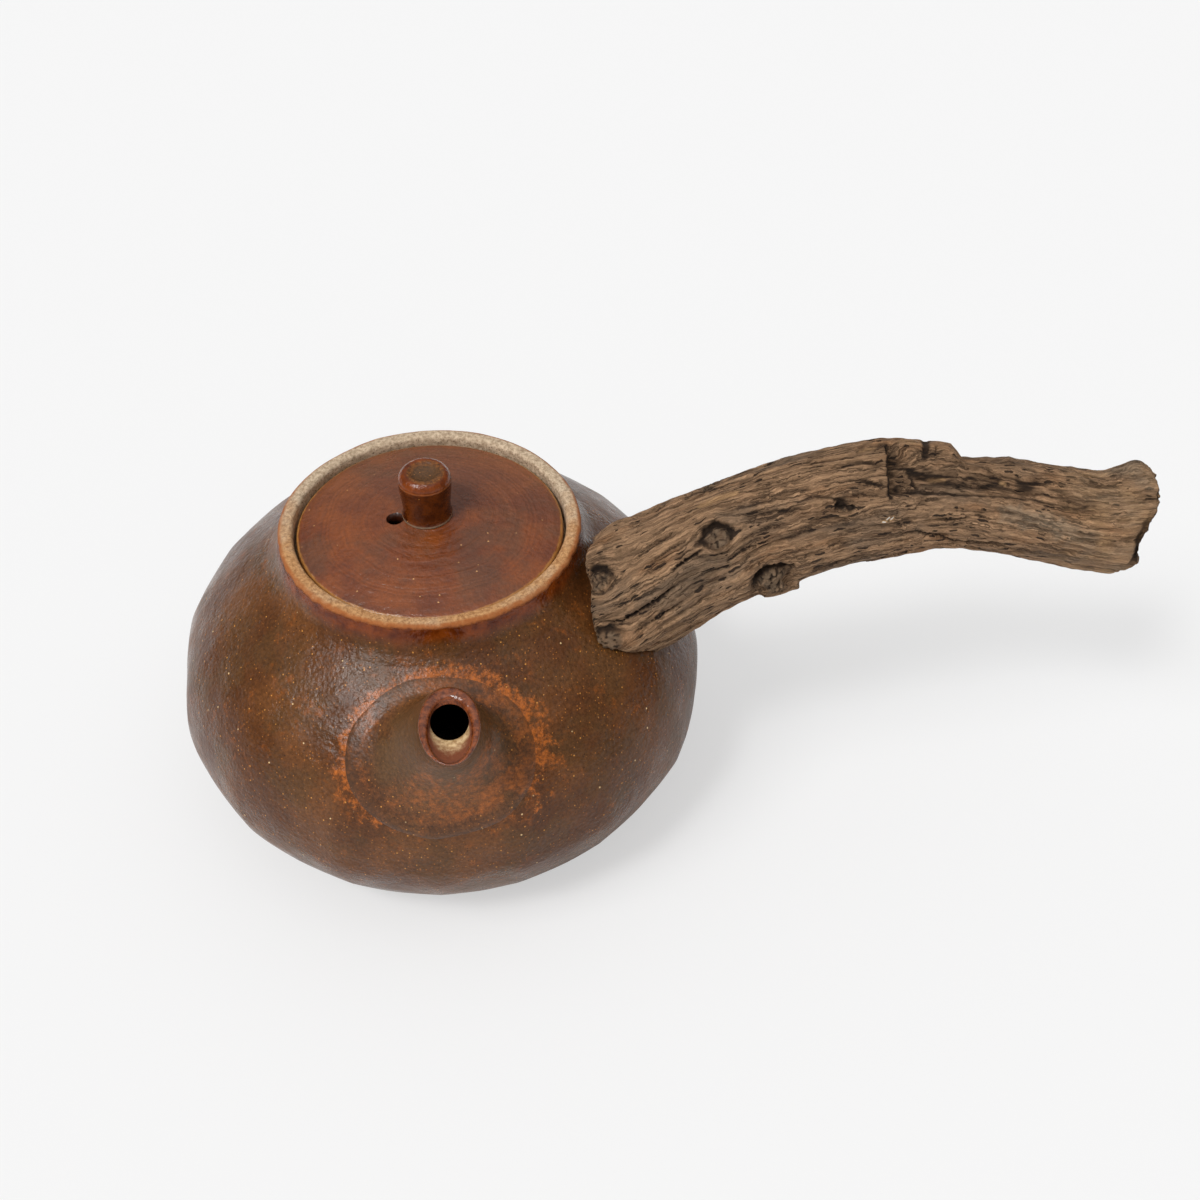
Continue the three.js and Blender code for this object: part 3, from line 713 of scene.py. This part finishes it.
# Where the wood swells beyond its plain run: a place, how far round it the swelling reaches,
# and which way it goes, in mm. The far end flares, and the foot is fuller at its top and left.
swellings = [
    ((156, -7.5, 72), 10, (3.6, 0, -0.6)),
    ((159.5, 4.5, 88.3), 7.5, (0.6, 2.3, 2.8)),
    ((42, -6.5, 80.5), 9, (-0.5, 1.3, 1.6)),
    ((38.4, -13.5, 78.5), 9, (-2.0, 0, 0.2)),
    ((38.6, -20, 73), 6, (-0.8, 0, 0)),
    ((82.6, -18, 75.5), 5, (-2.6, 0.2, 0)),
    ((47, -25.5, 64), 9, (0.3, -1.1, -1.2)),
]
for vertex in skin:
    for middle, reach, push in swellings:
        near = soft(1 - (vertex.co / MM - Vector(middle)).length / reach)
        vertex.co += Vector(push) * near * MM
wood.data.update()
skin_tree = kdtree.KDTree(len(skin))
for vertex in skin:
    skin_tree.insert(vertex.co / MM, vertex.index)
skin_tree.balance()
normals = [vertex.normal.copy() for vertex in skin]
sink = [0.0] * len(skin)
dark_wood_and_shade = [0.0] * len(skin)
pale = [0.0] * len(skin)
grey = [0.0] * len(skin)


def traced(path, half_width):
    """The skin's points near a drawn line: each one's distance from it and progress along it."""
    found = {}
    lengths = [(Vector(b) - Vector(a)).length for a, b in zip(path, path[1:])]
    walked = 0.0
    for (a, b), length in zip(zip(path, path[1:]), lengths):
        steps = max(2, int(length / 0.35))
        for step in range(steps + 1):
            point = Vector(a).lerp(Vector(b), step / steps)
            point = skin_tree.find(point)[0]
            progress = (walked + length * step / steps) / sum(lengths)
            for _, index, distance in skin_tree.find_range(point, half_width):
                if distance < found.get(index, (1e9, 0))[0]:
                    found[index] = (distance, progress)
        walked += length
    return found


def brush(tone, index, strength):
    """Put a tone on a point of the skin, where it isn't stronger already."""
    tone[index] = max(tone[index], strength)


# Sink a groove along a line and paint it darker inside: painted shade.
def gouge(path, half_width, depth, darkness, taper=True):
    for index, (distance, progress) in traced(path, half_width).items():
        ends = math.sqrt(math.sin(math.pi * min(max(progress, 0.02), 0.98))) if taper else 1
        share = soft(1 - distance / half_width) * ends
        sink[index] += depth * share
        brush(dark_wood_and_shade, index, darkness * soft(1.6 * (1 - distance / half_width)) * ends)


# The deep drying cracks, drawn from the foot outwards: each one's half width, depth and
# darkness, and the line that it follows. The darkness is painted shade inside the crack.
cracks = [
    (0.52, 1.3, 1.25, [(38.9, -23.8, 69), (43.5, -24.2, 69.6), (51.2, -22.9, 74.6), (56, -21.8, 78)]),
    (0.52, 1.3, 1.3, [(54.3, -20.8, 81.3), (57.2, -19.8, 83.5), (61.6, -18.7, 86.3)]),
    (0.5, 0.6, 0.8, [(49, -19, 82.4), (54, -17.6, 85.4), (58, -16.6, 87.4)]),
    (0.45, 0.5, 0.7, [(44, -17.5, 79.5), (50, -15.8, 84), (56, -13.8, 88.2)]),
    (0.5, 0.6, 0.8, [(66, -19.6, 82.8), (70, -18.6, 85.6), (76, -17.4, 87.8)]),
    (0.45, 0.5, 0.7, [(70, -14.8, 92), (77, -14.2, 93.4), (84, -13.9, 93.6)]),
    (0.6, 0.7, 0.8, [(46, -24.6, 66.6), (52, -23.6, 70.6), (58, -22.4, 74.5)]),
    (0.55, 0.6, 0.85, [(100, -15.3, 87.3), (109.2, -13.3, 86.2), (119, -10.9, 81.2), (128.5, -9.6, 79.1)]),
    (0.7, 0.8, 0.9, [(94, -9.4, 98.4), (99.5, -10.3, 97.4), (101.8, -10.6, 97)]),
    (0.5, 0.5, 0.7, [(84, -12.2, 95.8), (89, -12.6, 95.6), (95, -12.8, 94.8)]),
    (0.6, 0.6, 0.75, [(92, -5.5, 100.2), (97, -5.8, 100.4), (101, -6.3, 100.1)]),
    (0.5, 0.6, 0.8, [(113, -11.9, 88.8), (116.9, -11.3, 88.2), (121, -10.4, 88.6)]),
    (1.5, 1.3, 1.0, [(162.6, -5.5, 85.3), (160.2, -8.5, 80.5), (160.2, -8.8, 76), (159.8, -7.5, 71)]),
]
for half_width, depth, darkness, path in cracks:
    gouge(path, half_width, depth, darkness)

# The broken slab: behind a steep step across the grain the top split away, and left a hollow
# that runs out along the wood. Each row: along x, the hollow's front and back edge, its depth.
hollow_rows = [
    (101.9, -12.2, 0.8, 3.0), (105.5, -11.6, 0.2, 3.4), (108.5, -10.4, -2.0, 2.4), (112, -9.7, -2.6, 1.9),
    (118, -8.8, -2.6, 1.5), (127, -7.0, -0.8, 1.3), (136.5, -5.8, 0.6, 1.0), (144.7, -6.2, -1.4, 0.5),
    (150, -5.0, -3.4, 0.0),
]
for vertex, normal in zip(skin, normals):
    x, y, z = vertex.co / MM
    if not 101.5 < x < 150 or normal.z < -0.1:
        continue
    ragged = 0.55 * rough(vertex.co / MM, 1.7)
    for near, far in zip(hollow_rows, hollow_rows[1:]):
        if near[0] - 0.5 <= x <= far[0]:
            share = max(x - near[0], 0) / (far[0] - near[0])
            front, back, depth = (a + (b - a) * share for a, b in zip(near[1:], far[1:]))
    inside = soft((y - front + ragged) / 0.8) * soft((back - y + ragged) / 1.8)
    inside *= soft((x - 101.7 + 0.5 * ragged) / 0.7)
    strand = rough((x / 9, y / 0.85, z / 2))
    sink[vertex.index] += inside * (depth + 0.5 * strand * soft(depth))
    # The hollow's colour: a dark stain along its channel, and painted shadow just behind the step and along
    # the ledge at its front edge.
    channel = math.exp(-(((y - (front + 0.62 * (back - front))) / (0.3 * (back - front) + 0.4)) ** 2))
    foot_line = math.exp(-(((y - front - 0.7) / 0.5) ** 2))
    step_shadow = 1 - soft((x - 104.5) / 3)
    patchy = soft(0.85 + 0.9 * rough((x / 3.5, y, z / 1.5)))
    step_shadow *= 0.55 + 0.5 * rough((x / 2, y / 1.2, z / 1.2))
    stranded = soft(0.8 + 1.2 * rough((x / 8, y / 0.55, z / 1.2)))
    stain_and_shadow = max(channel * patchy * stranded * (0.95 - 0.5 * soft((x - 138) / 8)), 0.8 * foot_line, step_shadow)
    brush(dark_wood_and_shade, vertex.index, inside * stain_and_shadow)
# The step's edge and the small grooves beside it are painted dark: painted shade.
step_edge = [(101.9, 0, 101.3), (102, -4, 100.6), (101.8, -8, 99.2), (102, -12.3, 95.6)]
gouge(step_edge, 0.8, 0.9, 1.0, taper=False)
gouge([(109.8, -10, 95.2), (108.7, -7.6, 97.2), (107.7, -5.4, 98.6)], 0.7, 0.7, 0.9)
gouge([(110.4, -2, 99.2), (110.8, 2, 99.6), (111.2, 5, 97.5)], 1.3, 0.5, 0.8, taper=False)
gouge([(112.8, -2, 98.8), (113.2, 2, 99)], 0.5, 0.4, 0.7)

# The back of the top edge: a lump of sound wood that ends in a step, then a low ridge.
crown = [
    (92, 0.0), (99, -0.3), (107, -0.7), (116.6, -0.7), (119.9, 1.8), (123, 1.4), (127, 0.3), (131, -0.9),
    (146, -0.9), (152, 0.0),
]
for vertex, normal in zip(skin, normals):
    x, y, z = vertex.co / MM
    facing = soft((y + 1.8) / 2.6) * soft((normal.z + 0.7 * normal.y) / 0.5)
    if facing and 92 < x < 152:
        x += 0.8 * rough(vertex.co / MM, 2.5)
        for (x_low, low), (x_high, high) in zip(crown, crown[1:]):
            if x_low <= x <= x_high:
                sink[vertex.index] += facing * (low + (high - low) * (x - x_low) / (x_high - x_low))

# Knots: a cracked grey nub in a dark crevice that is deepest on one side, and the grain parts
# round it. Each row: place, radius, depth and darkness of the crevice, how far the nub sinks.
knots = [
    ((64.5, -17.1, 88.0), 3.0, 2.2, 1.3, -0.8),
    ((38.4, -18.6, 77.0), 2.7, 1.8, 1.2, 0.2),
    ((41.2, -25.0, 64.6), 3.1, 0.9, 0.8, -0.5),
    ((91.3, -13.8, 94.1), 1.2, 1.3, 1.0, 1.5),
    ((93.5, -13.9, 93.4), 0.8, 0.8, 0.9, 0.8),
    ((77.6, -19.4, 76.6), 3.7, 2.4, 1.1, -0.2),
    ((150.0, 12.8, 78.0), 3.4, 0.8, 0.8, -0.2),
    ((84.0, 11.5, 90.0), 4.2, 0.9, 0.8, 0.2),
    ((60.0, 2.0, 96.0), 2.2, 0.7, 0.7, 0.1),
    ((118.0, 8.0, 74.0), 3.0, 0.9, 0.8, 0.1),
]
for middle, radius, depth, darkness, floor in knots:
    middle = skin_tree.find(Vector(middle))[0]
    for place, index, distance in skin_tree.find_range(middle, radius * 1.9):
        offset = place - middle
        lumpy = 1 + 0.22 * rough(place, 0.7 * radius) + 0.14 * rough(place, 0.9)
        around = distance * lumpy / radius
        # The crevice is painted dark: painted shade, heaviest, like its depth, on the upper left side.
        deep_side = 0.62 + 0.5 * (offset.z - 0.6 * offset.x) / max(distance, 0.3)
        ring = math.exp(-(((around - 1.05) / 0.3) ** 2)) * min(max(deep_side, 0.3), 1.2)
        heart = soft((0.98 - around) / 0.25)
        split = soft((0.1 - abs(rough(place, 0.5 * radius))) / 0.1)
        lump = rough(place, 0.45 * radius, (5, 1, 2))
        sink[index] += depth * ring + heart * (floor + 0.6 * split - 0.6 * lump)
        brush(dark_wood_and_shade, index, max(darkness * ring, heart * (0.44 + 0.5 * split)))
        brush(grey, index, heart * (0.6 + 0.5 * lump))
        # A nub that sinks this far is a hole, painted wholly dark: painted shade.
        if floor > 0.7:
            brush(dark_wood_and_shade, index, heart)

# Pale places: a fresh chip along the grain, and two spots of white grit.
for path, half_width, strength in (
    ([(60.9, -9.4, 91.2), (64.7, -9.2, 92.8), (68.4, -8.9, 94.1)], 1.3, 0.9),
    ([(101.4, -14.4, 91.1), (102.7, -14.0, 91.0)], 0.5, 2.0),
    ([(100.6, -14.6, 90.2), (100.8, -14.6, 90.2)], 0.4, 2.0),
    ([(112, -6, 96.2), (115, -5.6, 95.7)], 0.8, 0.5),
    ([(128.4, -3.2, 92.8), (129.6, -3.0, 92.4)], 0.6, 0.6),
    ([(96, -1.5, 101), (99, -1, 101)], 0.8, 0.45),
    ([(105, 1, 100.4), (109, 1.4, 99.8)], 1.0, 0.45),
):
    for index, (distance, _) in traced(path, half_width).items():
        brush(pale, index, strength * soft(1.3 * (1 - distance / half_width)))

for index, (distance, _) in traced([(129.4, -8.8, 88.1), (138.8, -8.6, 85), (146, -9.5, 81.4)], 3.4).items():
    frayed = soft(1.2 * (1 - distance / 3.4) + 0.8 * rough(skin[index].co / MM, 2))
    brush(grey, index, 0.9 * frayed)

# The skin itself: ridges, furrows and fibres that all follow the wood's bend and its knots.
grain = wood.data.attributes.new("grain", "FLOAT_VECTOR", "POINT")
marks = wood.data.attributes.new("marks", "FLOAT_VECTOR", "POINT")
knot_frames = [(Vector(middle), radius, spine.frame_at(Vector(middle))) for middle, radius, *_ in knots]
for vertex in skin:
    point = vertex.co / MM
    run, sideways, upward, aim, side_axis, up_axis = spine.frame_at(point)
    # Beside a knot the grain bends out round it.
    for middle, radius, knot_frame in knot_frames:
        offset = point - middle
        if offset.length < 6 * radius:
            across_axis = knot_frame[3].cross(normals[vertex.index]).normalized()
            across = offset.dot(across_axis)
            push = -across * radius**2 / max(offset.length_squared, radius**2)
            sideways += push * across_axis.dot(side_axis)
            upward += push * across_axis.dot(up_axis)
    drift = 1.6 * rough((run / 26, sideways / 14, upward / 14))
    index = vertex.index
    grain.data[index].vector = Vector((run, sideways + drift, upward + drift * 0.7))
    # The broken end is torn across its fibres, and the wood before it is bleached and grey.
    end_face = soft((normals[index].dot(aim) - 0.5) / 0.35)
    if end_face > 0 and point.x > 140:
        torn = abs(rough((sideways / 3.1, upward / 2.4, 1.7)))
        torn += 0.25 * abs(rough((sideways, upward, 4), 1.3))
        sink[index] += end_face * 1.6 * torn
        # The end face is darker end grain, and painted shade darkens it more where it is torn deep.
        brush(dark_wood_and_shade, index, end_face * (0.35 + 0.4 * soft(1.4 * torn)))
    side = 1 - end_face
    bleached = soft((point.x - 138) / 12) * soft(0.55 + 0.9 * rough(point, 4))
    brush(pale, index, 0.32 * side * bleached)
    weathered = soft((point.x - 140) / 12) * soft(0.5 + 1.1 * rough(point, 5, (2, 6, 1)))
    brush(grey, index, 0.75 * side * weathered)
    broad = rough((run / 20, sideways / 5.5, upward / 5.5), shift=(7, 3, 1))
    ridge = rough((run / 9, sideways / 1.7, upward / 1.7), shift=(1, 9, 5))
    fibre = rough((run / 5, sideways / 0.9, upward / 0.9), shift=(4, 2, 8))
    chips = rough(point, 2.3, (3, 3, 9))
    furrow = soft((ridge - 0.2) / 0.16)
    sink[index] += side * (0.3 - 0.45 * broad + 0.5 * furrow - 0.24 * fibre - 0.16 * chips)
    # The furrows are painted darker: painted shade.
    brush(dark_wood_and_shade, index, side * 0.36 * furrow)
    marks.data[index].vector = (dark_wood_and_shade[index], pale[index], grey[index])

# The skin stays in the box of the solid wood, but its foot may be a little fuller.
fuller_foot = 2 * MM
low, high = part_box("driftwood_handle")
low = (low[0] - fuller_foot, low[1], low[2])
for vertex in skin:
    moved = vertex.co - normals[vertex.index] * sink[vertex.index] * MM
    vertex.co = Vector([min(max(moved[axis], low[axis]), high[axis]) for axis in range(3)])

patina = Finish("weathered_driftwood")
darkness, paleness, greyness = patina.parts(patina.attribute("marks"))
unruly = patina.node("TexNoise", {"Vector": patina.place, "Scale": 0.45, "Detail": 3.0}).outputs["Color"]
unruly = patina.vector("SUBTRACT", unruly, (0.5, 0.5, 0.5))
unruly = patina.node("VectorMath", {0: unruly, "Scale": 1.3}, operation="SCALE").outputs[0]
grown = patina.vector("ADD", patina.attribute("grain"), unruly)


def along_grain(stretch):
    return patina.vector("MULTIPLY", grown, (stretch, 1, 1))


def grained(stretch, *cloud):
    """A cloud drawn out along the grain: the smaller the stretch, the longer its streaks."""
    return patina.cloud(*cloud, place=along_grain(stretch))


# Brown tones in streaks, warmer and duller in places, with fine threads over them.
streak = patina.ramp(grained(0.07, 0.95, 9, 0.7), 0.32, 0.66)
color = patina.mix(streak, shade(84, 61, 43), shade(182, 144, 109))
broad = patina.drift((0.05, 4), 0.36, 0.64)
color = patina.mix(patina.times(broad, 0.35), color, shade(160, 128, 98))
warm = patina.ramp(grained(0.3, 0.16, 5), 0.54, 0.68, 0, 0.5)
color = patina.mix(warm, color, shade(140, 98, 64))
dull = patina.ramp(grained(0.35, 0.09, 5), 0.5, 0.66, 0, 0.55)
color = patina.mix(dull, color, shade(104, 90, 76))
threads = grained(0.035, 3.2, 7, 0.75)
threads = patina.ramp(threads, 0.32, 0.68, 0.62, 1.44)
color = patina.mix(1.0, color, threads, "MULTIPLY")
# Short pits like lenses and long fine lines, thicker in some places than in others, painted dark:
# painted shade in them.
thickly = grained(0.5, 0.11, 3)
long_line = patina.minus(grained(0.05, 0.75, 5, 0.6), 0.5)
lines = patina.ramp(patina.calc("ABSOLUTE", long_line), 0.03, 0.01)
lines = patina.times(lines, patina.ramp(grained(0.3, 0.3, 3), 0.42, 0.52))
cells = patina.node("TexVoronoi", {"Vector": along_grain(0.18), "Scale": 1.05, "Randomness": 1.0})
lens = patina.ramp(cells.outputs["Distance"], 0.32, 0.26)
pick = patina.parts(cells.outputs["Color"])[0]
chosen = patina.plus(pick, patina.times(patina.minus(thickly, 0.5), 2.2))
pits = patina.times(lens, patina.ramp(chosen, 0.52, 0.6))
pitted = patina.larger(pits, patina.times(lines, 0.7))
color = patina.mix(patina.times(pitted, 0.92), color, shade(38, 28, 21))
# What the marks ask for: grey weathered wood, dark crevices and furrows (painted shade, with dark
# knots, stain and end grain), fresh chips and white grit.
grey_wood = patina.mix(streak, shade(84, 68, 53), shade(172, 150, 124))
color = patina.mix(patina.times(greyness, 0.7), color, grey_wood)
darkened = patina.ramp(darkness, 0.0, 0.9, 0.0, 0.95)
color = patina.mix(darkened, color, shade(36, 26, 19))
fresh = patina.node("Clamp", {0: paleness}).outputs[0]
bleached = patina.ramp(grained(0.1, 1.8, 7, 0.7), 0.36, 0.64)
bleached = patina.mix(bleached, shade(140, 106, 76), shade(216, 172, 122))
color = patina.mix(fresh, color, bleached)
patina.set("Base Color", patina.mix(patina.ramp(paleness, 1.0, 1.6), color, shade(226, 222, 214)))
patina.set("Roughness", 0.88)
patina.set("Specular IOR Level", 0.2)
relief = patina.plus(grained(0.06, 1.3, 8, 0.7), patina.times(threads, 0.25))
patina.bump(patina.minus(relief, patina.times(pitted, 0.7)), 0.8, 1.0)
wood.data.materials.append(patina.material)
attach(wood, "pot")
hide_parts("driftwood_handle")


# The lid: a thrown disc, slightly domed, that sits down inside the rim. Its throwing rings show
# through a red-brown glaze, and a steam hole is pierced beside the knob. The flange that keeps
# it in place is hidden under it, and stays as packed in bare clay.

lid_radius, lid_under, lid_thickness = 30.5, 72.8, 3.6
hole_radius, hole_out, hole_azimuth = 2.0, 7.7, math.radians(188)


def lid_top(radius):
    return lid_under + 3.9 + 3.7 * (1 - (radius / lid_radius) ** 2)


lid_outline = [(r, lid_top(r) - lid_thickness) for r in (0, 4, 8, 12, 16, 20)]
lid_outline += [(22.8, lid_under), (26, lid_under), (29.2, lid_under), (29.9, 72.95), (30.35, 73.4)]
lid_outline += [(lid_radius, height) for height in (74, 74.8, 75.6)]
lid_outline += [(30.42, 76.2), (30.2, 76.55), (29.8, 76.8)]
lid_outline += [(29.2 - 0.6 * step, lid_top(29.2 - 0.6 * step) - 0.05) for step in range(48)]
lid_outline += [(0.4, lid_top(0)), (0, lid_top(0))]
lid = on_wheel("recessed_lid", lid_outline, 160)
for vertex in lid.data.vertices:
    x, y, z = vertex.co / MM
    radius = math.hypot(x, y)
    if z > 75 and radius > 5.5:
        wander = 2 * rough((x, y, 0), 25)
        rings = 0.045 * math.sin(radius * 2.3 + wander) * soft((radius - 6) / 4)
        hand = 0.16 * rough((x, y, 5), 15)
        vertex.co.z += (rings + hand - 0.1) * MM
hole = Vector((hole_out * math.cos(hole_azimuth), hole_out * math.sin(hole_azimuth), 0))
drill(lid, hole + Vector((0, 0, 70)), hole + Vector((0, 0, 85)), hole_radius, 32)
lid.data.shade_smooth()

glaze = Finish("red_brown_lid_glaze")
reach = glaze.from_axis()
tone = glaze.drift((0.08, 4), 0.35, 0.65)
color = glaze.mix(tone, shade(96, 43, 13), shade(122, 61, 19))
smoke = glaze.drift((0.07, 4), 0.5, 0.66, 0, 0.55)
color = glaze.mix(smoke, color, shade(84, 54, 34))
backward = glaze.parts(glaze.place)[1]
# Towards the back the lid is painted greyer: a painted reflection of the bright room.
color = glaze.mix(glaze.ramp(backward, -8, 24, 0, 0.32), color, shade(122, 84, 62))
# The throwing rings wander a little about the middle.
wobble = glaze.times(glaze.cloud(0.06, 2), 4.0)
ring_place = glaze.node("CombineXYZ", {0: glaze.plus(reach, wobble)}).outputs[0]
turning = glaze.cloud(1.1, 4, 0.6, place=ring_place)
color = glaze.dappled(color, turning, 0.3, 0.7, 0.86, 1.12)
color = glaze.dappled(color, glaze.cloud(1.4, 7, 0.7), 0.3, 0.7, 0.85, 1.15)
# The glaze is thin on the edge. The steam hole's wall is painted dark: painted shade.
edge = glaze.plus(reach, glaze.times(glaze.cloud(0.5, 5), 0.8))
color = glaze.mix(glaze.ramp(edge, 30.1, 30.6, 0, 0.85), color, shade(176, 122, 62))
color = glaze.speckled(color, 0.5, 0.12, 0.75, shade(200, 150, 96))
flat = glaze.vector("MULTIPLY", glaze.place, (1, 1, 0))
from_hole = glaze.node("VectorMath", {0: flat, 1: hole}, operation="DISTANCE").outputs["Value"]
steam_hole_shade = glaze.ramp(from_hole, hole_radius + 0.1, hole_radius - 0.02)
glaze.set("Base Color", glaze.mix(steam_hole_shade, color, shade(50, 21, 9)))
glaze.set("Roughness", glaze.drift((0.12, 4), 0.3, 0.7, 0.26, 0.4))
glaze.set("Specular IOR Level", 0.6)
glaze.bump(glaze.plus(glaze.times(turning, 0.6), glaze.cloud(0.7, 3, 0.5)), 0.42, 0.8)
lid.data.materials.append(glaze.material)
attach(lid, "lid")
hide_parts("lid_disc")
dress("lid_flange", fired_clay)


# The knob: a bead of clay thrown on its own, wider and dished at the top, and luted to the lid
# with a seam at its foot. Its glaze ran thick, dark amber and glossy.

knob_foot = lid_top(5.2)
off_middle = Vector((-0.4, 0.5, 0))
knob_outline = [(0, -0.2), (3, -0.2), (5.5, -0.2), (5.78, 0.05), (5.8, 0.3), (5.7, 0.55), (5.58, 0.8)]
knob_outline += [(5.54, 1.8), (5.54, 2.8), (5.58, 3.8), (5.64, 4.8), (5.73, 5.8), (5.84, 6.8), (5.97, 7.8)]
knob_outline += [(6.04, 8.7), (6.1, 9.5), (6.13, 9.95), (6.1, 10.12), (6.03, 10.22), (6.05, 10.36)]
knob_outline += [(6.02, 10.6), (5.92, 10.9), (5.74, 11.25), (5.48, 11.62), (5.15, 11.96), (4.78, 12.22)]
knob_outline += [(4.38, 12.37), (4.0, 12.4), (3.65, 12.3), (3.2, 12.02), (2.6, 11.7), (1.8, 11.45)]
knob_outline += [(0.9, 11.32), (0, 11.3)]
knob_outline = [(radius, knob_foot + height) for radius, height in knob_outline]
knob = on_wheel("luted_knob", knob_outline, 96)
for vertex in knob.data.vertices:
    x, y, z = vertex.co / MM
    shift = off_middle.copy()
    if z > knob_foot + 0.9 and math.hypot(x, y) > 0.5:
        hand = 0.1 * rough((x, y, z), 5)
        shift += Vector((x, y, 0)).normalized() * (hand - 0.05)
    vertex.co += shift * MM

glaze = Finish("dark_amber_knob_glaze")
height = glaze.parts(glaze.place)[2]
tone = glaze.drift((0.35, 5), 0.3, 0.7)
color = glaze.mix(tone, shade(62, 24, 3), shade(96, 44, 8))
reach = glaze.from_axis()
# The top is redder behind a light edge, dusty ochre in its dish, and the seam below is pale.
bevel = glaze.ramp(height, knob_foot + 9.8, knob_foot + 10.2)
color = glaze.mix(bevel, color, glaze.mix(tone, shade(78, 30, 3), shade(118, 54, 10)))
edge_line = glaze.times(bevel, glaze.ramp(height, knob_foot + 10.5, knob_foot + 10.2))
color = glaze.mix(glaze.times(edge_line, 0.5), color, shade(140, 74, 22))
ochre = glaze.drift((1.2, 8, 0.8), 0.4, 0.64)
top = glaze.times(bevel, glaze.ramp(reach, 4.5, 4.0))
color = glaze.mix(top, color, glaze.mix(ochre, shade(76, 42, 18), shade(140, 82, 30)))
dish = glaze.times(top, glaze.ramp(reach, 4.2, 2.6, 0, 0.75))
color = glaze.mix(dish, color, shade(76, 56, 36))
foot_line = glaze.ramp(height, knob_foot + 0.7, knob_foot + 0.35, 0, 0.8)
color = glaze.mix(foot_line, color, shade(128, 108, 88))
color = glaze.dappled(color, glaze.cloud(1.6, 6, 0.7), 0.3, 0.7, 0.85, 1.18)
glaze.set("Base Color", glaze.speckled(color, 0.9, 0.14, 0.7, shade(186, 122, 62)))
glaze.set("Roughness", glaze.drift((0.3, 4), 0.3, 0.7, 0.08, 0.18))
glaze.set("Specular IOR Level", 0.32)
glaze.bump(glaze.cloud(1.5, 3, 0.55), 0.22, 0.7)
knob.data.materials.append(glaze.material)
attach(knob, "lid")
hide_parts("lid_knob")


# The studio: one pale floor without an edge, a broad light above the front, a softer window
# at the left, and the camera where the photograph was taken from.

bpy.ops.object.select_all(action="DESELECT")
bpy.ops.mesh.primitive_plane_add(size=12, location=(0, 0, 0))
floor = bpy.context.object
floor.name = floor.data.name = "studio_floor"
paper = Finish("pale_paper")
paper.set("Base Color", shade(238, 238, 238))
paper.set("Roughness", 0.95)
paper.set("Specular IOR Level", 0.1)
glow = paper.node("Emission", {"Color": shade(240, 240, 240), "Strength": 1.0}).outputs[0]
seen = paper.times(paper.node("LightPath").outputs["Is Camera Ray"], 0.6)
sheet = paper.node("MixShader", {0: seen, 1: paper.surface.outputs[0], 2: glow}).outputs[0]
paper.feed(paper.output.inputs[0], sheet)
floor.data.materials.append(paper.material)
floor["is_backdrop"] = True

# The room is bright overhead and dim towards the camera, as round a photographer's table.


class Room(Finish):
    """The shader of the room itself, made with the same nodes."""

    def __init__(self, world):
        world.use_nodes = True
        self.tree = world.node_tree
        self.surface = self.tree.nodes["Background"]


bpy.context.scene.world = bpy.data.worlds.new("studio")
room = Room(bpy.context.scene.world)
_, backward, upward = room.parts(room.node("TexCoord").outputs["Generated"])
dome = room.times(room.ramp(upward, 0.3, 0.9, 0.19, 0.72), room.ramp(backward, -0.1, 0.6, 0.96, 1.04))
fill = room.times(room.ramp(backward, -0.1, -0.8), room.ramp(upward, 0.4, 0.1), 0.55)
backdrop = room.node("LightPath").outputs["Is Camera Ray"]
room.set("Color", room.mix(backdrop, room.plus(dome, fill), shade(246, 246, 246)))
room.set("Strength", 1.0)


def lamp(name, toward, strength, degrees):
    light = bpy.data.lights.new(name, "SUN")
    light.energy, light.angle = strength, math.radians(degrees)
    stand = bpy.data.objects.new(name, light)
    stand.rotation_euler = Vector(toward).to_track_quat("Z", "Y").to_euler()
    bpy.context.scene.collection.objects.link(stand)


lamp("above_front", (0.1, -0.45, 1), 0.35, 50)
lamp("left_window", (-0.5, -0.42, 0.75), 1.35, 26)
lamp("window_core", (-0.32, -0.46, 0.82), 0.9, 11)

lens = bpy.data.cameras.new("camera")
lens.lens, lens.sensor_width = 52.5, 36
camera = bpy.data.objects.new("camera", lens)
camera.location = (0.0388922, -0.303543, 0.3386435)
camera.rotation_euler = (math.radians(90 - 43.2), 0, 0)
bpy.context.scene.collection.objects.link(camera)
bpy.context.scene.camera = camera
bpy.context.scene.view_settings.view_transform = "Standard"

low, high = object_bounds()
